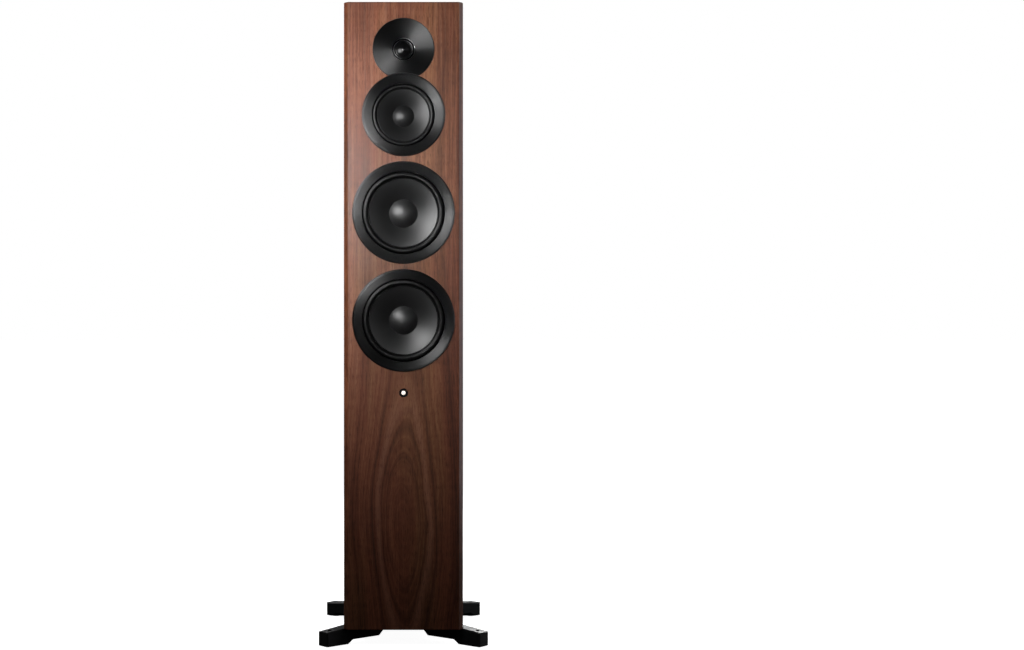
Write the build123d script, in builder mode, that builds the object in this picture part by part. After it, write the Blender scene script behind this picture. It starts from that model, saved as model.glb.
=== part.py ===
"""Floorstanding three-way loudspeaker with a closed cabinet, four drivers and an amplifier module in its back.

Millimetres, +Z up. The origin is on the floor under the middle of the speaker, and the baffle faces -Y.
A driver's section is drawn with its radius as local x and the distance out of the baffle's face as local y.
"""

import os
from math import asin, cos, degrees, radians, sin, sqrt

from build123d import *

# Cabinet
CABINET_WIDTH = 216
CABINET_HEIGHT = 1136
CABINET_DEPTH = 320
UNDERSIDE = 29  # the cabinet's underside above the floor
WALL = 19
BAFFLE = 30
EDGE_BEVEL = 7.5  # width of the bevel down each front edge of the baffle
EDGE_ROUND = 2
ARRIS = 1.2  # the small chamfer on the other outer edges
BRACE = 18
BRACE_HEIGHTS = (300, 678)
CHAMBER_Z = 864
CHAMBER_DIVIDER_Y = 30
PAD_THICK = 40

HALF_WIDTH = CABINET_WIDTH / 2
INNER_HALF = HALF_WIDTH - WALL
FRONT_Y = -CABINET_DEPTH / 2
BACK_Y = CABINET_DEPTH / 2
BAFFLE_BACK_Y = FRONT_Y + BAFFLE
REAR_PANEL_Y = BACK_Y - WALL
TOP_Z = UNDERSIDE + CABINET_HEIGHT
FLOOR_OF_CABINET_Z = UNDERSIDE + WALL
CEILING_Z = TOP_Z - WALL

# Heights of the parts on the baffle
TWEETER_Z = 1080
MIDRANGE_Z = 961
UPPER_WOOFER_Z = 784
LOWER_WOOFER_Z = 589
STATUS_LIGHT_Z = 458

# What the two sizes of cone driver measure: radii, and depths below the baffle's face
REBATE_DEPTH = 11
FLANGE_FACE = -5.8  # the basket's flange lies this far below the baffle's face, under the trim ring
SURROUND_BASE = -6.6
RUBBER = 0.8
RING_PROUD = 2.8
CONE_WALL = 0.9
WOOFER = {
    "ring": 92.8, "ring_bore": 75.3, "rebate": 90, "hole": 78, "screw_circle": 83.6,
    "roll_outer": 72.5, "roll_inner": 63.5, "coil": 26, "cone_depth": 20.5, "dome_rise": 11,
    "spider_depth": 42, "motor_depth": 56, "top_plate": 7, "magnet": 18, "back_plate": 8,
    "magnet_radius": 60, "coil_overhang": 4.5, "windows": 6, "collar": 2,
}
MIDRANGE = {
    "ring": 75.4, "ring_bore": 57, "rebate": 73, "hole": 60.5, "screw_circle": 66.5,
    "roll_outer": 55.2, "roll_inner": 48.3, "coil": 19.5, "cone_depth": 15, "dome_rise": 8.5,
    "spider_depth": 32, "motor_depth": 41, "top_plate": 5, "magnet": 14, "back_plate": 6,
    "magnet_radius": 46, "coil_overhang": 3, "windows": 6, "collar": 1.6,
}
SCREW = {"shank": 2, "head": 4.5, "length": 20}
SCREWS_PER_DRIVER = 6
CONE_DRIVERS = ((MIDRANGE_Z, MIDRANGE), (UPPER_WOOFER_Z, WOOFER), (LOWER_WOOFER_Z, WOOFER))

# Tweeter
FACEPLATE_RADIUS = 56
FACEPLATE_DEPTH = 6
TWEETER_FLANGE_RADIUS = 44.4
TWEETER_FLANGE = 4
TWEETER_HOLE = 37
DOME_RADIUS = 14
DOME_RISE = 5.6
DOME_BASE = -7.4
THROAT_RADIUS = 20.5
TWEETER_PLATE_FRONT = -11
TWEETER_PLATE_BACK = -14
TWEETER_SCREW = {"shank": 1.6, "head": 3.4, "length": 14}
TWEETER_SCREW_CIRCLE = 40
DIFFUSER_RADIUS = 11

# Status light
STATUS_LENS = 3.6
STATUS_STEM = 5.4
STATUS_RIM = 7.9
STATUS_SEAT = 2.4

# Amplifier module in the back
AMP_WIDTH = 150
AMP_LOW_Z = 88
AMP_HIGH_Z = 488
AMP_PLATE = 4
AMP_OPENING_MARGIN = 12
TRAY_DEPTH = 62
TRAY_WALL = 2
AMP_FACE_Y = BACK_Y + AMP_PLATE
AMP_MIDDLE_Z = (AMP_LOW_Z + AMP_HIGH_Z) / 2
AMP_SCREW = {"shank": 1.9, "head": 3.6, "length": 16}
FINS = 9
FIN_PITCH = 14
FIN_THICK = 2.6
FIN_HEIGHT = 10
FIN_RANGE = (250, 474)

# Sockets and controls on the amplifier plate
INLET_X, INLET_Z = -40, 124
INLET_BODY = (27, 20)
INLET_POCKET = (22.5, 15.5)
INLET_FLANGE = 2
INLET_DEPTH = 18
POCKET_DEPTH = 17
BLADE_LENGTH = 11
ROCKER_X, ROCKER_Z = 2, 124
ROCKER_BODY = (19, 22)
ROCKER_WINDOW = (15, 18.4)
ROCKER_FLANGE = 1.5
ROCKER_DEPTH = 12
ROCKER_PIVOT = -1.5
ROCKER_TILT = 10
AXLE_RADIUS = 1.2
NETWORK_X, NETWORK_Z = 42, 124
NETWORK_BODY = (16, 14)
NETWORK_OPENING = (11.8, 7)
SWITCH_X, SWITCH_Z = -40, 168
SWITCH_KNOB = (4, 3.6)
SWITCH_TRAVEL = 5
BUTTON_X, BUTTON_Z = 0, 168
BUTTON_RADIUS = 4
JACK_Z = 208
JACK_XS = (-45, -15, 15, 45)
JACK_RADIUS = 4.15
JACK_COLLAR = 6.5
JACK_LENGTH = 10
JACK_HOLE = 1.7

# Outrigger feet
FOOT_ANGLE = 40  # each arm's direction in plan, from the X axis
FOOT_TIP_X, FOOT_TIP_Y = 145.6, 167  # the middle of an arm's outer end
FOOT_WIDTH = 27.5
FOOT_LENGTH = 134
FOOT_STEP_Y = 147  # the step under each arm runs parallel to the baffle, this far from the middle
FOOT_BLOCK_LOW = 1
FOOT_ARM_LOW = 8.4
FOOT_TIP_HIGH = 26.4
FOOT_TOP_RISE = 0.1  # slope of an arm's top, from its tip towards the cabinet
FOOT_SHOULDER = 80  # where that slope stops, inside the outline of the cabinet
FOOT_SHOULDER_GAP = 0.5  # between the shoulder on an arm and the cabinet's side
STUD_RADIUS = 3.95
STUD_BORE = 4
STUD_INSET = 15  # from the arm's outer end to the stud's axis
PAD_RADIUS = 9
PAD_HIGH = 3.2
FOOT_FACET = 2.2
FOOT_TAPER = 14  # length of the slope under an arm's inner end
BOLT = {"shank": 3, "head": 5.5, "length": 24}
BOLT_DISTANCES = (72, 108)  # from an arm's tip
BOLT_IN_PANEL = 12
STUD_TOP = 20
FEET = (
    ("front_left", -1, -1),
    ("front_right", 1, -1),
    ("rear_left", -1, 1),
    ("rear_right", 1, 1),
)

os.makedirs("parts", exist_ok=True)


def save(block, name):
    """Labels a finished piece and writes its STEP file."""
    block.part.label = name
    export_step(block.part, f"parts/{name}.step")


def section_at(height):
    """The plane of a driver's section: x is its radius and y points out of the baffle."""
    return Plane(origin=(0, FRONT_Y, height), x_dir=(1, 0, 0), z_dir=(0, 0, -1))


def axis_at(height):
    """A driver's axis, pointing out of the baffle."""
    return Axis((0, FRONT_Y, height), (0, -1, 0))


def face_at(height, level=0):
    """A plane parallel to the baffle that faces the listener, at a level above (or below) its face."""
    return Plane(origin=(0, FRONT_Y - level, height), x_dir=(1, 0, 0), z_dir=(0, -1, 0))


def back_face(x, height, level=0):
    """A plane parallel to the rear panel that faces backwards, at a level outside the amplifier plate."""
    return Plane(origin=(x, AMP_FACE_Y + level, height), x_dir=(-1, 0, 0), z_dir=(0, 1, 0))


def turned(height, *points):
    """A body turned around a driver's axis, from the corners of its section."""
    with BuildPart() as body:
        with BuildSketch(section_at(height)):
            Polygon(*points, align=None)
        revolve(axis=axis_at(height))
    return body.part


def cap_arc(rim, rise, base, inset=0):
    """The arc of a spherical cap's section, from the axis out to its rim, or parallel to it inside."""
    radius = (rim**2 + rise**2) / (2 * rise)
    return CenterArc((0, base + rise - radius), radius - inset, 90, -degrees(asin(rim / radius)))


def ring(height, inner, outer, low, high):
    """A plain ring or disc around a driver's axis."""
    return turned(height, (inner, low), (outer, low), (outer, high), (inner, high))


def countersunk_screw(size):
    """A countersunk screw with its flat face at the origin and its shank along -Z."""
    head_depth = size["head"] - size["shank"]
    with BuildPart() as screw:
        with BuildSketch(Plane.XZ):
            Polygon(
                (0, -1.2),
                (1.3, 0),
                (size["head"], 0),
                (size["shank"], -head_depth),
                (size["shank"], -size["length"] + 2),
                (0, -size["length"]),
                align=None,
            )
        revolve(axis=Axis.Z)
    return screw.part


# ---------------------------------------------------------------- cabinet

def make_front_baffle():
    with BuildPart() as baffle:
        with BuildSketch(Plane.XY.offset(UNDERSIDE)):
            with BuildLine():
                outline = FilletPolyline(
                    (HALF_WIDTH, BAFFLE_BACK_Y),
                    (HALF_WIDTH, FRONT_Y + EDGE_BEVEL),
                    (HALF_WIDTH - EDGE_BEVEL, FRONT_Y),
                    (-HALF_WIDTH + EDGE_BEVEL, FRONT_Y),
                    (-HALF_WIDTH, FRONT_Y + EDGE_BEVEL),
                    (-HALF_WIDTH, BAFFLE_BACK_Y),
                    radius=EDGE_ROUND,
                )
                Line(outline @ 1, outline @ 0)
            make_face()
        extrude(amount=CABINET_HEIGHT)
        front_ends = baffle.edges().filter_by(GeomType.LINE).group_by(Axis.Y)[0].filter_by(Axis.X)
        chamfer(front_ends, length=ARRIS)
        for height, size in CONE_DRIVERS:
            with Locations(face_at(height)):
                CounterBoreHole(size["hole"], size["rebate"], REBATE_DEPTH)
            with BuildSketch(face_at(height, -REBATE_DEPTH)):
                with PolarLocations(size["screw_circle"], SCREWS_PER_DRIVER, 30):
                    Circle(SCREW["shank"] + 0.1)
            extrude(amount=-SCREW["length"], mode=Mode.SUBTRACT)
        # The tweeter's rebate stops where the midrange's trim ring lies on the baffle.
        with BuildSketch(face_at(TWEETER_Z)):
            Circle(FACEPLATE_RADIUS + 0.3)
            with Locations((0, MIDRANGE_Z - TWEETER_Z)):
                Circle(MIDRANGE["ring"] + 0.2, mode=Mode.SUBTRACT)
        extrude(amount=-FACEPLATE_DEPTH, mode=Mode.SUBTRACT)
        with Locations(face_at(TWEETER_Z, -FACEPLATE_DEPTH)):
            CounterBoreHole(TWEETER_HOLE, TWEETER_FLANGE_RADIUS + 0.4, TWEETER_FLANGE)
        with BuildSketch(face_at(TWEETER_Z, -FACEPLATE_DEPTH - TWEETER_FLANGE)):
            with PolarLocations(TWEETER_SCREW_CIRCLE, 4, 45):
                Circle(TWEETER_SCREW["shank"] + 0.1)
        extrude(amount=-TWEETER_SCREW["length"], mode=Mode.SUBTRACT)
        with Locations(face_at(STATUS_LIGHT_Z)):
            CounterBoreHole(STATUS_STEM + 0.1, STATUS_RIM + 0.2, STATUS_SEAT)
    save(baffle, "front_baffle")


def wrap_panel(name, outline, holes=()):
    """One mitred panel of the wrap, drawn from the front and running from the baffle to the back."""
    with BuildPart() as panel:
        with BuildSketch(Plane(origin=(0, BAFFLE_BACK_Y, 0), x_dir=(1, 0, 0), z_dir=(0, -1, 0))):
            Polygon(*outline, align=None)
        extrude(amount=-(BACK_Y - BAFFLE_BACK_Y))
        outer_end = panel.edges().group_by(Axis.Y)[-1].sort_by(SortBy.LENGTH)[-1]
        chamfer(outer_end, length=ARRIS)
        if holes:
            with Locations(*holes):
                Hole(BOLT["shank"] + 0.1, depth=BOLT_IN_PANEL + 1)
    save(panel, name)


def make_wrap():
    low, high, half = UNDERSIDE, TOP_Z, HALF_WIDTH
    for name, side in (("left_side_panel", -1), ("right_side_panel", 1)):
        wrap_panel(name, (
            (side * half, low + ARRIS),
            (side * half, high - ARRIS),
            (side * (half - ARRIS / 2), high - ARRIS / 2),
            (side * INNER_HALF, CEILING_Z),
            (side * INNER_HALF, FLOOR_OF_CABINET_Z),
            (side * (half - ARRIS / 2), low + ARRIS / 2),
        ))
    bolt_holes = [Location((x, y, UNDERSIDE), (180, 0, 0)) for x, y in bolt_places()]
    for name, outer, inner, way, holes in (
        ("top_panel", high, CEILING_Z, -1, ()),
        ("bottom_panel", low, FLOOR_OF_CABINET_Z, 1, bolt_holes),
    ):
        outline = (
            (-half + ARRIS, outer),
            (half - ARRIS, outer),
            (half - ARRIS / 2, outer + way * ARRIS / 2),
            (INNER_HALF, inner),
            (-INNER_HALF, inner),
            (-half + ARRIS / 2, outer + way * ARRIS / 2),
        )
        wrap_panel(name, outline, holes)


def make_rear_panel():
    with BuildPart() as panel:
        with BuildSketch(Plane(origin=(0, BACK_Y, 0), x_dir=(-1, 0, 0), z_dir=(0, 1, 0))):
            with Locations((0, (FLOOR_OF_CABINET_Z + CEILING_Z) / 2)):
                Rectangle(2 * INNER_HALF, CEILING_Z - FLOOR_OF_CABINET_Z)
            with Locations((0, AMP_MIDDLE_Z)):
                RectangleRounded(
                    AMP_WIDTH - 2 * AMP_OPENING_MARGIN,
                    AMP_HIGH_Z - AMP_LOW_Z - 2 * AMP_OPENING_MARGIN,
                    6,
                    mode=Mode.SUBTRACT,
                )
        extrude(amount=-WALL)
        with Locations(*[back_face(x, z, -AMP_PLATE) for x, z in amp_screw_places()]):
            Hole(AMP_SCREW["shank"] + 0.1, depth=AMP_SCREW["length"])
    save(panel, "rear_panel")


def make_cabinet_braces():
    """Three window braces across the bass chamber, each a shelf with one large opening."""
    depth = REAR_PANEL_Y - BAFFLE_BACK_Y
    with BuildPart() as braces:
        for height in BRACE_HEIGHTS:
            with BuildSketch(Plane.XY.offset(height)):
                with Locations((0, (REAR_PANEL_Y + BAFFLE_BACK_Y) / 2)):
                    Rectangle(2 * INNER_HALF, depth)
                # The windows leave the amplifier's tray room at the back.
                with Locations((0, (BAFFLE_BACK_Y + REAR_PANEL_Y) / 2)):
                    RectangleRounded(2 * INNER_HALF - 46, depth - 60, 20, mode=Mode.SUBTRACT)
                if height < AMP_HIGH_Z:
                    with Locations((0, REAR_PANEL_Y)):
                        Rectangle(AMP_WIDTH, 2 * TRAY_DEPTH, mode=Mode.SUBTRACT)
            extrude(amount=BRACE)
    save(braces, "cabinet_braces")


def make_midrange_chamber():
    """The shelf and the divider that give the midrange and the tweeter a closed chamber of their own."""
    with BuildPart() as chamber:
        with BuildSketch(Plane.XY.offset(CHAMBER_Z)):
            with Locations((0, (BAFFLE_BACK_Y + REAR_PANEL_Y) / 2)):
                Rectangle(2 * INNER_HALF, REAR_PANEL_Y - BAFFLE_BACK_Y)
        extrude(amount=BRACE)
        with BuildSketch(Plane.XY.offset(CHAMBER_Z + BRACE)):
            with Locations((0, CHAMBER_DIVIDER_Y)):
                Rectangle(2 * INNER_HALF, BRACE)
        extrude(amount=CEILING_Z - CHAMBER_Z - BRACE)
    save(chamber, "midrange_chamber")


def make_damping_pads():
    """Polyester wool: one pad behind the woofers, one behind the midrange."""
    with BuildPart() as pads:
        for low, high, y in (
            (520, 660, REAR_PANEL_Y),
            (700, 850, REAR_PANEL_Y),
            (CHAMBER_Z + BRACE + 8, CEILING_Z - 8, CHAMBER_DIVIDER_Y - BRACE / 2),
        ):
            with BuildSketch(Plane(origin=(0, y, (low + high) / 2), x_dir=(1, 0, 0), z_dir=(0, -1, 0))):
                RectangleRounded(2 * INNER_HALF - 12, high - low, 12)
            extrude(amount=PAD_THICK)
    save(pads, "damping_pads")


# ---------------------------------------------------------------- cone drivers

def make_trim_ring(name, height, size):
    """The crowned ring over the driver's flange. Its lip lies on the baffle and hides the screws."""
    with BuildPart() as ring:
        with BuildSketch(section_at(height)):
            with BuildLine():
                start = (size["ring_bore"], FLANGE_FACE)
                corner = (size["ring"], 1)
                crest = (size["ring"] - 4.5, RING_PROUD)
                inner = (size["ring_bore"], -2.4)
                Polyline(inner, start, (size["rebate"] - 0.3, FLANGE_FACE), (size["rebate"] - 0.3, 0),
                         (size["ring"], 0), corner)
                ThreePointArc(corner, (size["ring"] - 1.6, RING_PROUD - 0.55), crest)
                middle = ((crest[0] + inner[0]) / 2, (crest[1] + inner[1]) / 2 + 1)
                ThreePointArc(crest, middle, inner)
            make_face()
        revolve(axis=axis_at(height))
    save(ring, name)


def make_surround(name, height, size):
    """The rubber half roll between the cone's rim and the basket's ledge."""
    middle = (size["roll_outer"] + size["roll_inner"]) / 2
    half = (size["roll_outer"] - size["roll_inner"]) / 2
    over, under = half + RUBBER / 2, half - RUBBER / 2
    reach = sqrt(over**2 - RUBBER**2)
    base, top = SURROUND_BASE, SURROUND_BASE + RUBBER
    with BuildPart() as surround:
        with BuildSketch(section_at(height)):
            with BuildLine():
                inner_end, outer_end = size["roll_inner"] - 1.9, size["ring_bore"] + 2
                ThreePointArc((middle - reach, top), (middle, base + over), (middle + reach, top))
                Polyline((middle + reach, top), (outer_end, top), (outer_end, base), (middle + under, base))
                ThreePointArc((middle + under, base), (middle, base + under), (middle - under, base))
                Polyline((middle - under, base), (inner_end, base), (inner_end, top), (middle - reach, top))
            make_face()
        revolve(axis=axis_at(height))
    save(surround, name)


def make_cone(name, height, size):
    """The one-piece diaphragm: a flared cone with the dome in its middle and a collar for the voice coil."""
    rim = size["roll_inner"]
    neck_r, neck_h = size["coil"], SURROUND_BASE - size["cone_depth"]
    wall, collar = CONE_WALL, 0.7
    flare_r, flare_h = (rim + neck_r) / 2 - 1, SURROUND_BASE - size["cone_depth"] * 0.56
    with BuildPart() as cone:
        with BuildSketch(section_at(height)):
            with BuildLine():
                over = cap_arc(neck_r, size["dome_rise"], neck_h)
                under = cap_arc(neck_r, size["dome_rise"], neck_h, wall)
                Line(over @ 0, under @ 0)
                Polyline(
                    under @ 1,
                    (neck_r - collar, neck_h - wall),
                    (neck_r - collar, neck_h - wall - size["collar"]),
                    (neck_r + collar, neck_h - wall - size["collar"]),
                    (neck_r + collar, neck_h - wall),
                )
                ThreePointArc(
                    (neck_r + collar, neck_h - wall),
                    (flare_r + wall * 0.6, flare_h - wall * 0.8),
                    (rim - 2.6, SURROUND_BASE - wall),
                )
                Polyline(
                    (rim - 2.6, SURROUND_BASE - wall),
                    (rim, SURROUND_BASE - wall),
                    (rim, SURROUND_BASE),
                    (rim - 3, SURROUND_BASE),
                )
                ThreePointArc((rim - 3, SURROUND_BASE), (flare_r, flare_h), over @ 1)
            make_face()
        revolve(axis=axis_at(height))
    save(cone, name)


def coil_levels(size):
    """Where a voice coil starts under the cone's collar, and where its winding starts and ends."""
    start = SURROUND_BASE - size["cone_depth"] - CONE_WALL - size["collar"]
    winding_top = -size["motor_depth"] + size["coil_overhang"]
    winding_end = -size["motor_depth"] - size["top_plate"] - size["coil_overhang"]
    return start, winding_top, winding_end


def make_voice_coil(name, height, size):
    start, winding_top, winding_end = coil_levels(size)
    with BuildPart() as coil:
        with BuildSketch(section_at(height)):
            Polygon(
                (size["coil"] - 0.3, start),
                (size["coil"] + 0.2, start),
                (size["coil"] + 0.2, winding_top),
                (size["coil"] + 1.3, winding_top),
                (size["coil"] + 1.3, winding_end),
                (size["coil"] - 0.3, winding_end),
                align=None,
            )
        revolve(axis=axis_at(height))
    save(coil, name)


def make_basket(name, height, size):
    """The cast basket: flange, windowed cone, spider ledge and the ring that the motor bolts to."""
    flange_back = -REBATE_DEPTH + 1
    rim, throat = size["hole"] - 0.7, size["roll_outer"] + 0.4
    ledge = -size["spider_depth"]
    foot = -size["motor_depth"]
    outer_foot = size["magnet_radius"] - 2
    ledge_in, ledge_out = outer_foot - 8, outer_foot - 3
    with BuildPart() as basket:
        with BuildSketch(section_at(height)):
            Polygon(
                (size["rebate"] - 0.5, FLANGE_FACE),
                (size["rebate"] - 0.5, flange_back),
                (rim, flange_back),
                (rim, flange_back - 3),
                (outer_foot, ledge - 2),
                (outer_foot, foot),
                (size["coil"] + 4, foot),
                (size["coil"] + 4, foot + 3.5),
                (ledge_in, foot + 3.5),
                (ledge_in, ledge),
                (ledge_out, ledge),
                (ledge_out, ledge + 3),
                (throat, flange_back - 2),
                (throat, SURROUND_BASE),
                (size["ring_bore"] + 2.2, SURROUND_BASE),
                (size["ring_bore"] + 2.2, FLANGE_FACE),
                align=None,
            )
        revolve(axis=axis_at(height))
        window_r = (throat + ledge_out) / 2 + 2
        with BuildSketch(face_at(height, flange_back - 3.5)):
            with PolarLocations(window_r, size["windows"], 0):
                RectangleRounded(window_r * 0.5, window_r * 0.62, 5)
        extrude(amount=-(size["spider_depth"] + flange_back - 7), mode=Mode.SUBTRACT)
        with Locations(face_at(height, FLANGE_FACE)):
            with PolarLocations(size["screw_circle"], SCREWS_PER_DRIVER, 30):
                CounterSinkHole(SCREW["shank"] + 0.3, SCREW["head"] + 0.3, counter_sink_angle=90)
    save(basket, name)


def spider(height, size):
    """A corrugated suspension disc, from the coil to the basket's ledge."""
    inner, outer = size["coil"] + 0.7, size["magnet_radius"] - 5.3
    waves, cloth, swing = 5, 0.7, 1.3
    level = -size["spider_depth"]
    first, last = inner + 1.5, outer - 2.5
    step = (last - first) / waves

    def corrugations(bottom):
        for i in range(waves):
            a, b = first + i * step, first + (i + 1) * step
            peak = swing if i % 2 == 0 else -swing * 0.6
            ThreePointArc((a, bottom), ((a + b) / 2, bottom + peak), (b, bottom))

    with BuildPart() as disc:
        with BuildSketch(section_at(height)):
            with BuildLine():
                corrugations(level)
                Polyline((last, level), (outer, level), (outer, level + cloth), (last, level + cloth))
                corrugations(level + cloth)
                Polyline((first, level + cloth), (inner, level + cloth), (inner, level), (first, level))
            make_face()
        revolve(axis=axis_at(height))
    return disc.part


def make_spiders():
    with BuildPart() as spiders:
        for height, size in CONE_DRIVERS:
            add(spider(height, size))
    save(spiders, "driver_spiders")


def make_magnets():
    with BuildPart() as magnets:
        for height, size in CONE_DRIVERS:
            front = -size["motor_depth"] - size["top_plate"]
            add(ring(height, size["coil"] + 7, size["magnet_radius"], front - size["magnet"], front))
        add(ring(TWEETER_Z, DOME_RADIUS + 3, 31, TWEETER_PLATE_BACK - 9, TWEETER_PLATE_BACK))
    save(magnets, "driver_magnets")


def back_plate(height, pole, radius, back, front, pole_top):
    """A back plate and its pole, turned in one piece with a vent through the middle."""
    vent = pole * 0.35
    return turned(
        height,
        (vent, back),
        (radius, back),
        (radius, front),
        (pole, front),
        (pole, pole_top),
        (vent, pole_top),
    )


def make_motor_plates():
    """The motor steel: a top plate around each voice coil, and a back plate with the pole inside it."""
    with BuildPart() as plates:
        for height, size in CONE_DRIVERS:
            front = -size["motor_depth"]
            back = front - size["top_plate"] - size["magnet"]
            add(ring(height, size["coil"] + 2, size["magnet_radius"] - 4, front - size["top_plate"], front))
            rear, radius = back - size["back_plate"], size["magnet_radius"] - 2
            add(back_plate(height, size["coil"] - 0.8, radius, rear, back, front + 1))
        front, back = TWEETER_PLATE_FRONT, TWEETER_PLATE_BACK
        add(ring(TWEETER_Z, DOME_RADIUS + 1, 31, back, front))
        add(back_plate(TWEETER_Z, DOME_RADIUS - 0.7, 31, back - 13, back - 9, front))
    save(plates, "driver_motor_plates")


def make_driver_gaskets():
    """The foam ring under each cone driver's flange."""
    with BuildPart() as gaskets:
        for height, size in CONE_DRIVERS:
            with BuildSketch(face_at(height, -REBATE_DEPTH)):
                Circle(size["rebate"] - 0.5)
                Circle(size["hole"] + 0.5, mode=Mode.SUBTRACT)
                with PolarLocations(size["screw_circle"], SCREWS_PER_DRIVER, 30):
                    Circle(SCREW["shank"] + 0.4, mode=Mode.SUBTRACT)
            extrude(amount=1)
    save(gaskets, "driver_gaskets")


def make_driver_screws():
    with BuildPart() as screws:
        for height, size in CONE_DRIVERS:
            with Locations(face_at(height, FLANGE_FACE)):
                with PolarLocations(size["screw_circle"], SCREWS_PER_DRIVER, 30):
                    add(countersunk_screw(SCREW))
        with Locations(face_at(TWEETER_Z, -FACEPLATE_DEPTH)):
            with PolarLocations(TWEETER_SCREW_CIRCLE, 4, 45):
                add(countersunk_screw(TWEETER_SCREW))
    save(screws, "driver_screws")


# ---------------------------------------------------------------- tweeter

def make_tweeter():
    with BuildPart() as faceplate:
        with BuildSketch(section_at(TWEETER_Z)):
            with BuildLine():
                rim, throat = (FACEPLATE_RADIUS - 1, 1.3), (THROAT_RADIUS, -4.6)
                Polyline(throat, (THROAT_RADIUS + 0.6, -FACEPLATE_DEPTH), (FACEPLATE_RADIUS, -FACEPLATE_DEPTH),
                         (FACEPLATE_RADIUS, 0.5), rim)
                ThreePointArc(rim, ((rim[0] + throat[0]) / 2, -2.2), throat)
            make_face()
        revolve(axis=axis_at(TWEETER_Z))
        with BuildSketch(face_at(MIDRANGE_Z, RING_PROUD + 1)):
            Circle(MIDRANGE["ring"] + 0.4)
        extrude(amount=-20, mode=Mode.SUBTRACT)
    save(faceplate, "tweeter_faceplate")

    roll_middle, roll_half, cloth = 16.9, 2, 0.4
    with BuildPart() as dome:
        with BuildSketch(section_at(TWEETER_Z)):
            with BuildLine():
                over = cap_arc(DOME_RADIUS, DOME_RISE, DOME_BASE)
                under = cap_arc(DOME_RADIUS, DOME_RISE, DOME_BASE, cloth)
                back = DOME_BASE - cloth
                inner, outer = roll_middle - roll_half, roll_middle + roll_half
                Line(over @ 0, under @ 0)
                Polyline(under @ 1, (DOME_RADIUS - 0.4, back), (inner, back))
                ThreePointArc((inner, back), (roll_middle, back + roll_half), (outer, back))
                Polyline((outer, back), (19.9, back), (19.9, DOME_BASE), (outer + cloth, DOME_BASE))
                ThreePointArc(
                    (outer + cloth, DOME_BASE),
                    (roll_middle, DOME_BASE + roll_half + cloth / 2),
                    (inner - cloth, DOME_BASE),
                )
                Line((inner - cloth, DOME_BASE), over @ 1)
            make_face()
        revolve(axis=axis_at(TWEETER_Z))
    save(dome, "tweeter_dome")

    with BuildPart() as coil:
        add(ring(TWEETER_Z, DOME_RADIUS - 0.3, DOME_RADIUS + 0.1, TWEETER_PLATE_BACK + 0.4, DOME_BASE - cloth))
    save(coil, "tweeter_voice_coil")

    # A fixed inner dome on the pole spreads the dome's back wave. Dimples cover its front.
    with BuildPart() as diffuser:
        foot, crown = TWEETER_PLATE_FRONT, TWEETER_PLATE_FRONT + 6
        with BuildSketch(section_at(TWEETER_Z)):
            with BuildLine():
                over = cap_arc(DIFFUSER_RADIUS, 4, foot + 2)
                Polyline(over @ 1, (DIFFUSER_RADIUS, foot), (0, foot), over @ 0)
            make_face()
        revolve(axis=axis_at(TWEETER_Z))
        for count, radius in ((1, 0), (6, 4), (12, 8)):
            with BuildSketch(face_at(TWEETER_Z, crown + 1)):
                with PolarLocations(radius, count):
                    RegularPolygon(1.3, 6)
            extrude(amount=-(1.7 + radius * radius * 0.018), mode=Mode.SUBTRACT)
    save(diffuser, "tweeter_inner_dome")

    with BuildPart() as chamber:
        flange_back = -FACEPLATE_DEPTH - TWEETER_FLANGE
        back, cup, wall = flange_back - 46, TWEETER_HOLE - 1, 2
        with BuildSketch(section_at(TWEETER_Z)):
            Polygon(
                (THROAT_RADIUS + 1, -FACEPLATE_DEPTH),
                (TWEETER_FLANGE_RADIUS, -FACEPLATE_DEPTH),
                (TWEETER_FLANGE_RADIUS, flange_back),
                (cup, flange_back),
                (cup, back + 4),
                (cup - 4, back),
                (0, back),
                (0, back + wall),
                (cup - 4, back + wall),
                (cup - wall, back + 4),
                (cup - wall, TWEETER_PLATE_FRONT),
                (THROAT_RADIUS + 1, TWEETER_PLATE_FRONT),
                align=None,
            )
        revolve(axis=axis_at(TWEETER_Z))
        with Locations(face_at(TWEETER_Z, -FACEPLATE_DEPTH)):
            with PolarLocations(TWEETER_SCREW_CIRCLE, 4, 45):
                CounterSinkHole(TWEETER_SCREW["shank"] + 0.3, TWEETER_SCREW["head"] + 0.3, counter_sink_angle=90)
    save(chamber, "tweeter_rear_chamber")


# ---------------------------------------------------------------- status light

def make_status_light():
    with BuildPart() as bezel:
        with BuildSketch(section_at(STATUS_LIGHT_Z)):
            Polygon(
                (STATUS_LENS + 0.1, -STATUS_SEAT - 10),
                (STATUS_STEM, -STATUS_SEAT - 10),
                (STATUS_STEM, -STATUS_SEAT),
                (STATUS_RIM, -STATUS_SEAT),
                (STATUS_RIM, 0.5),
                (STATUS_RIM - 0.6, 1),
                (STATUS_LENS + 0.8, 1),
                (STATUS_LENS + 0.1, 0.4),
                align=None,
            )
        revolve(axis=axis_at(STATUS_LIGHT_Z))
    save(bezel, "status_light_bezel")

    with BuildPart() as lens:
        with BuildSketch(section_at(STATUS_LIGHT_Z)):
            with BuildLine():
                over = cap_arc(STATUS_LENS, 0.8, 0.1)
                Polyline(over @ 1, (STATUS_LENS, -9), (0, -9), over @ 0)
            make_face()
        revolve(axis=axis_at(STATUS_LIGHT_Z))
    save(lens, "status_light_lens")


# ---------------------------------------------------------------- amplifier module

def amp_screw_places():
    """The middles of the amplifier plate's screws, seen from the front: x and height."""
    inset = AMP_OPENING_MARGIN / 2
    rows = 5
    step = (AMP_HIGH_Z - AMP_LOW_Z - 2 * inset) / (rows - 1)
    return [
        (side * (AMP_WIDTH / 2 - inset), AMP_LOW_Z + inset + row * step)
        for row in range(rows)
        for side in (-1, 1)
    ]


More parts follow.
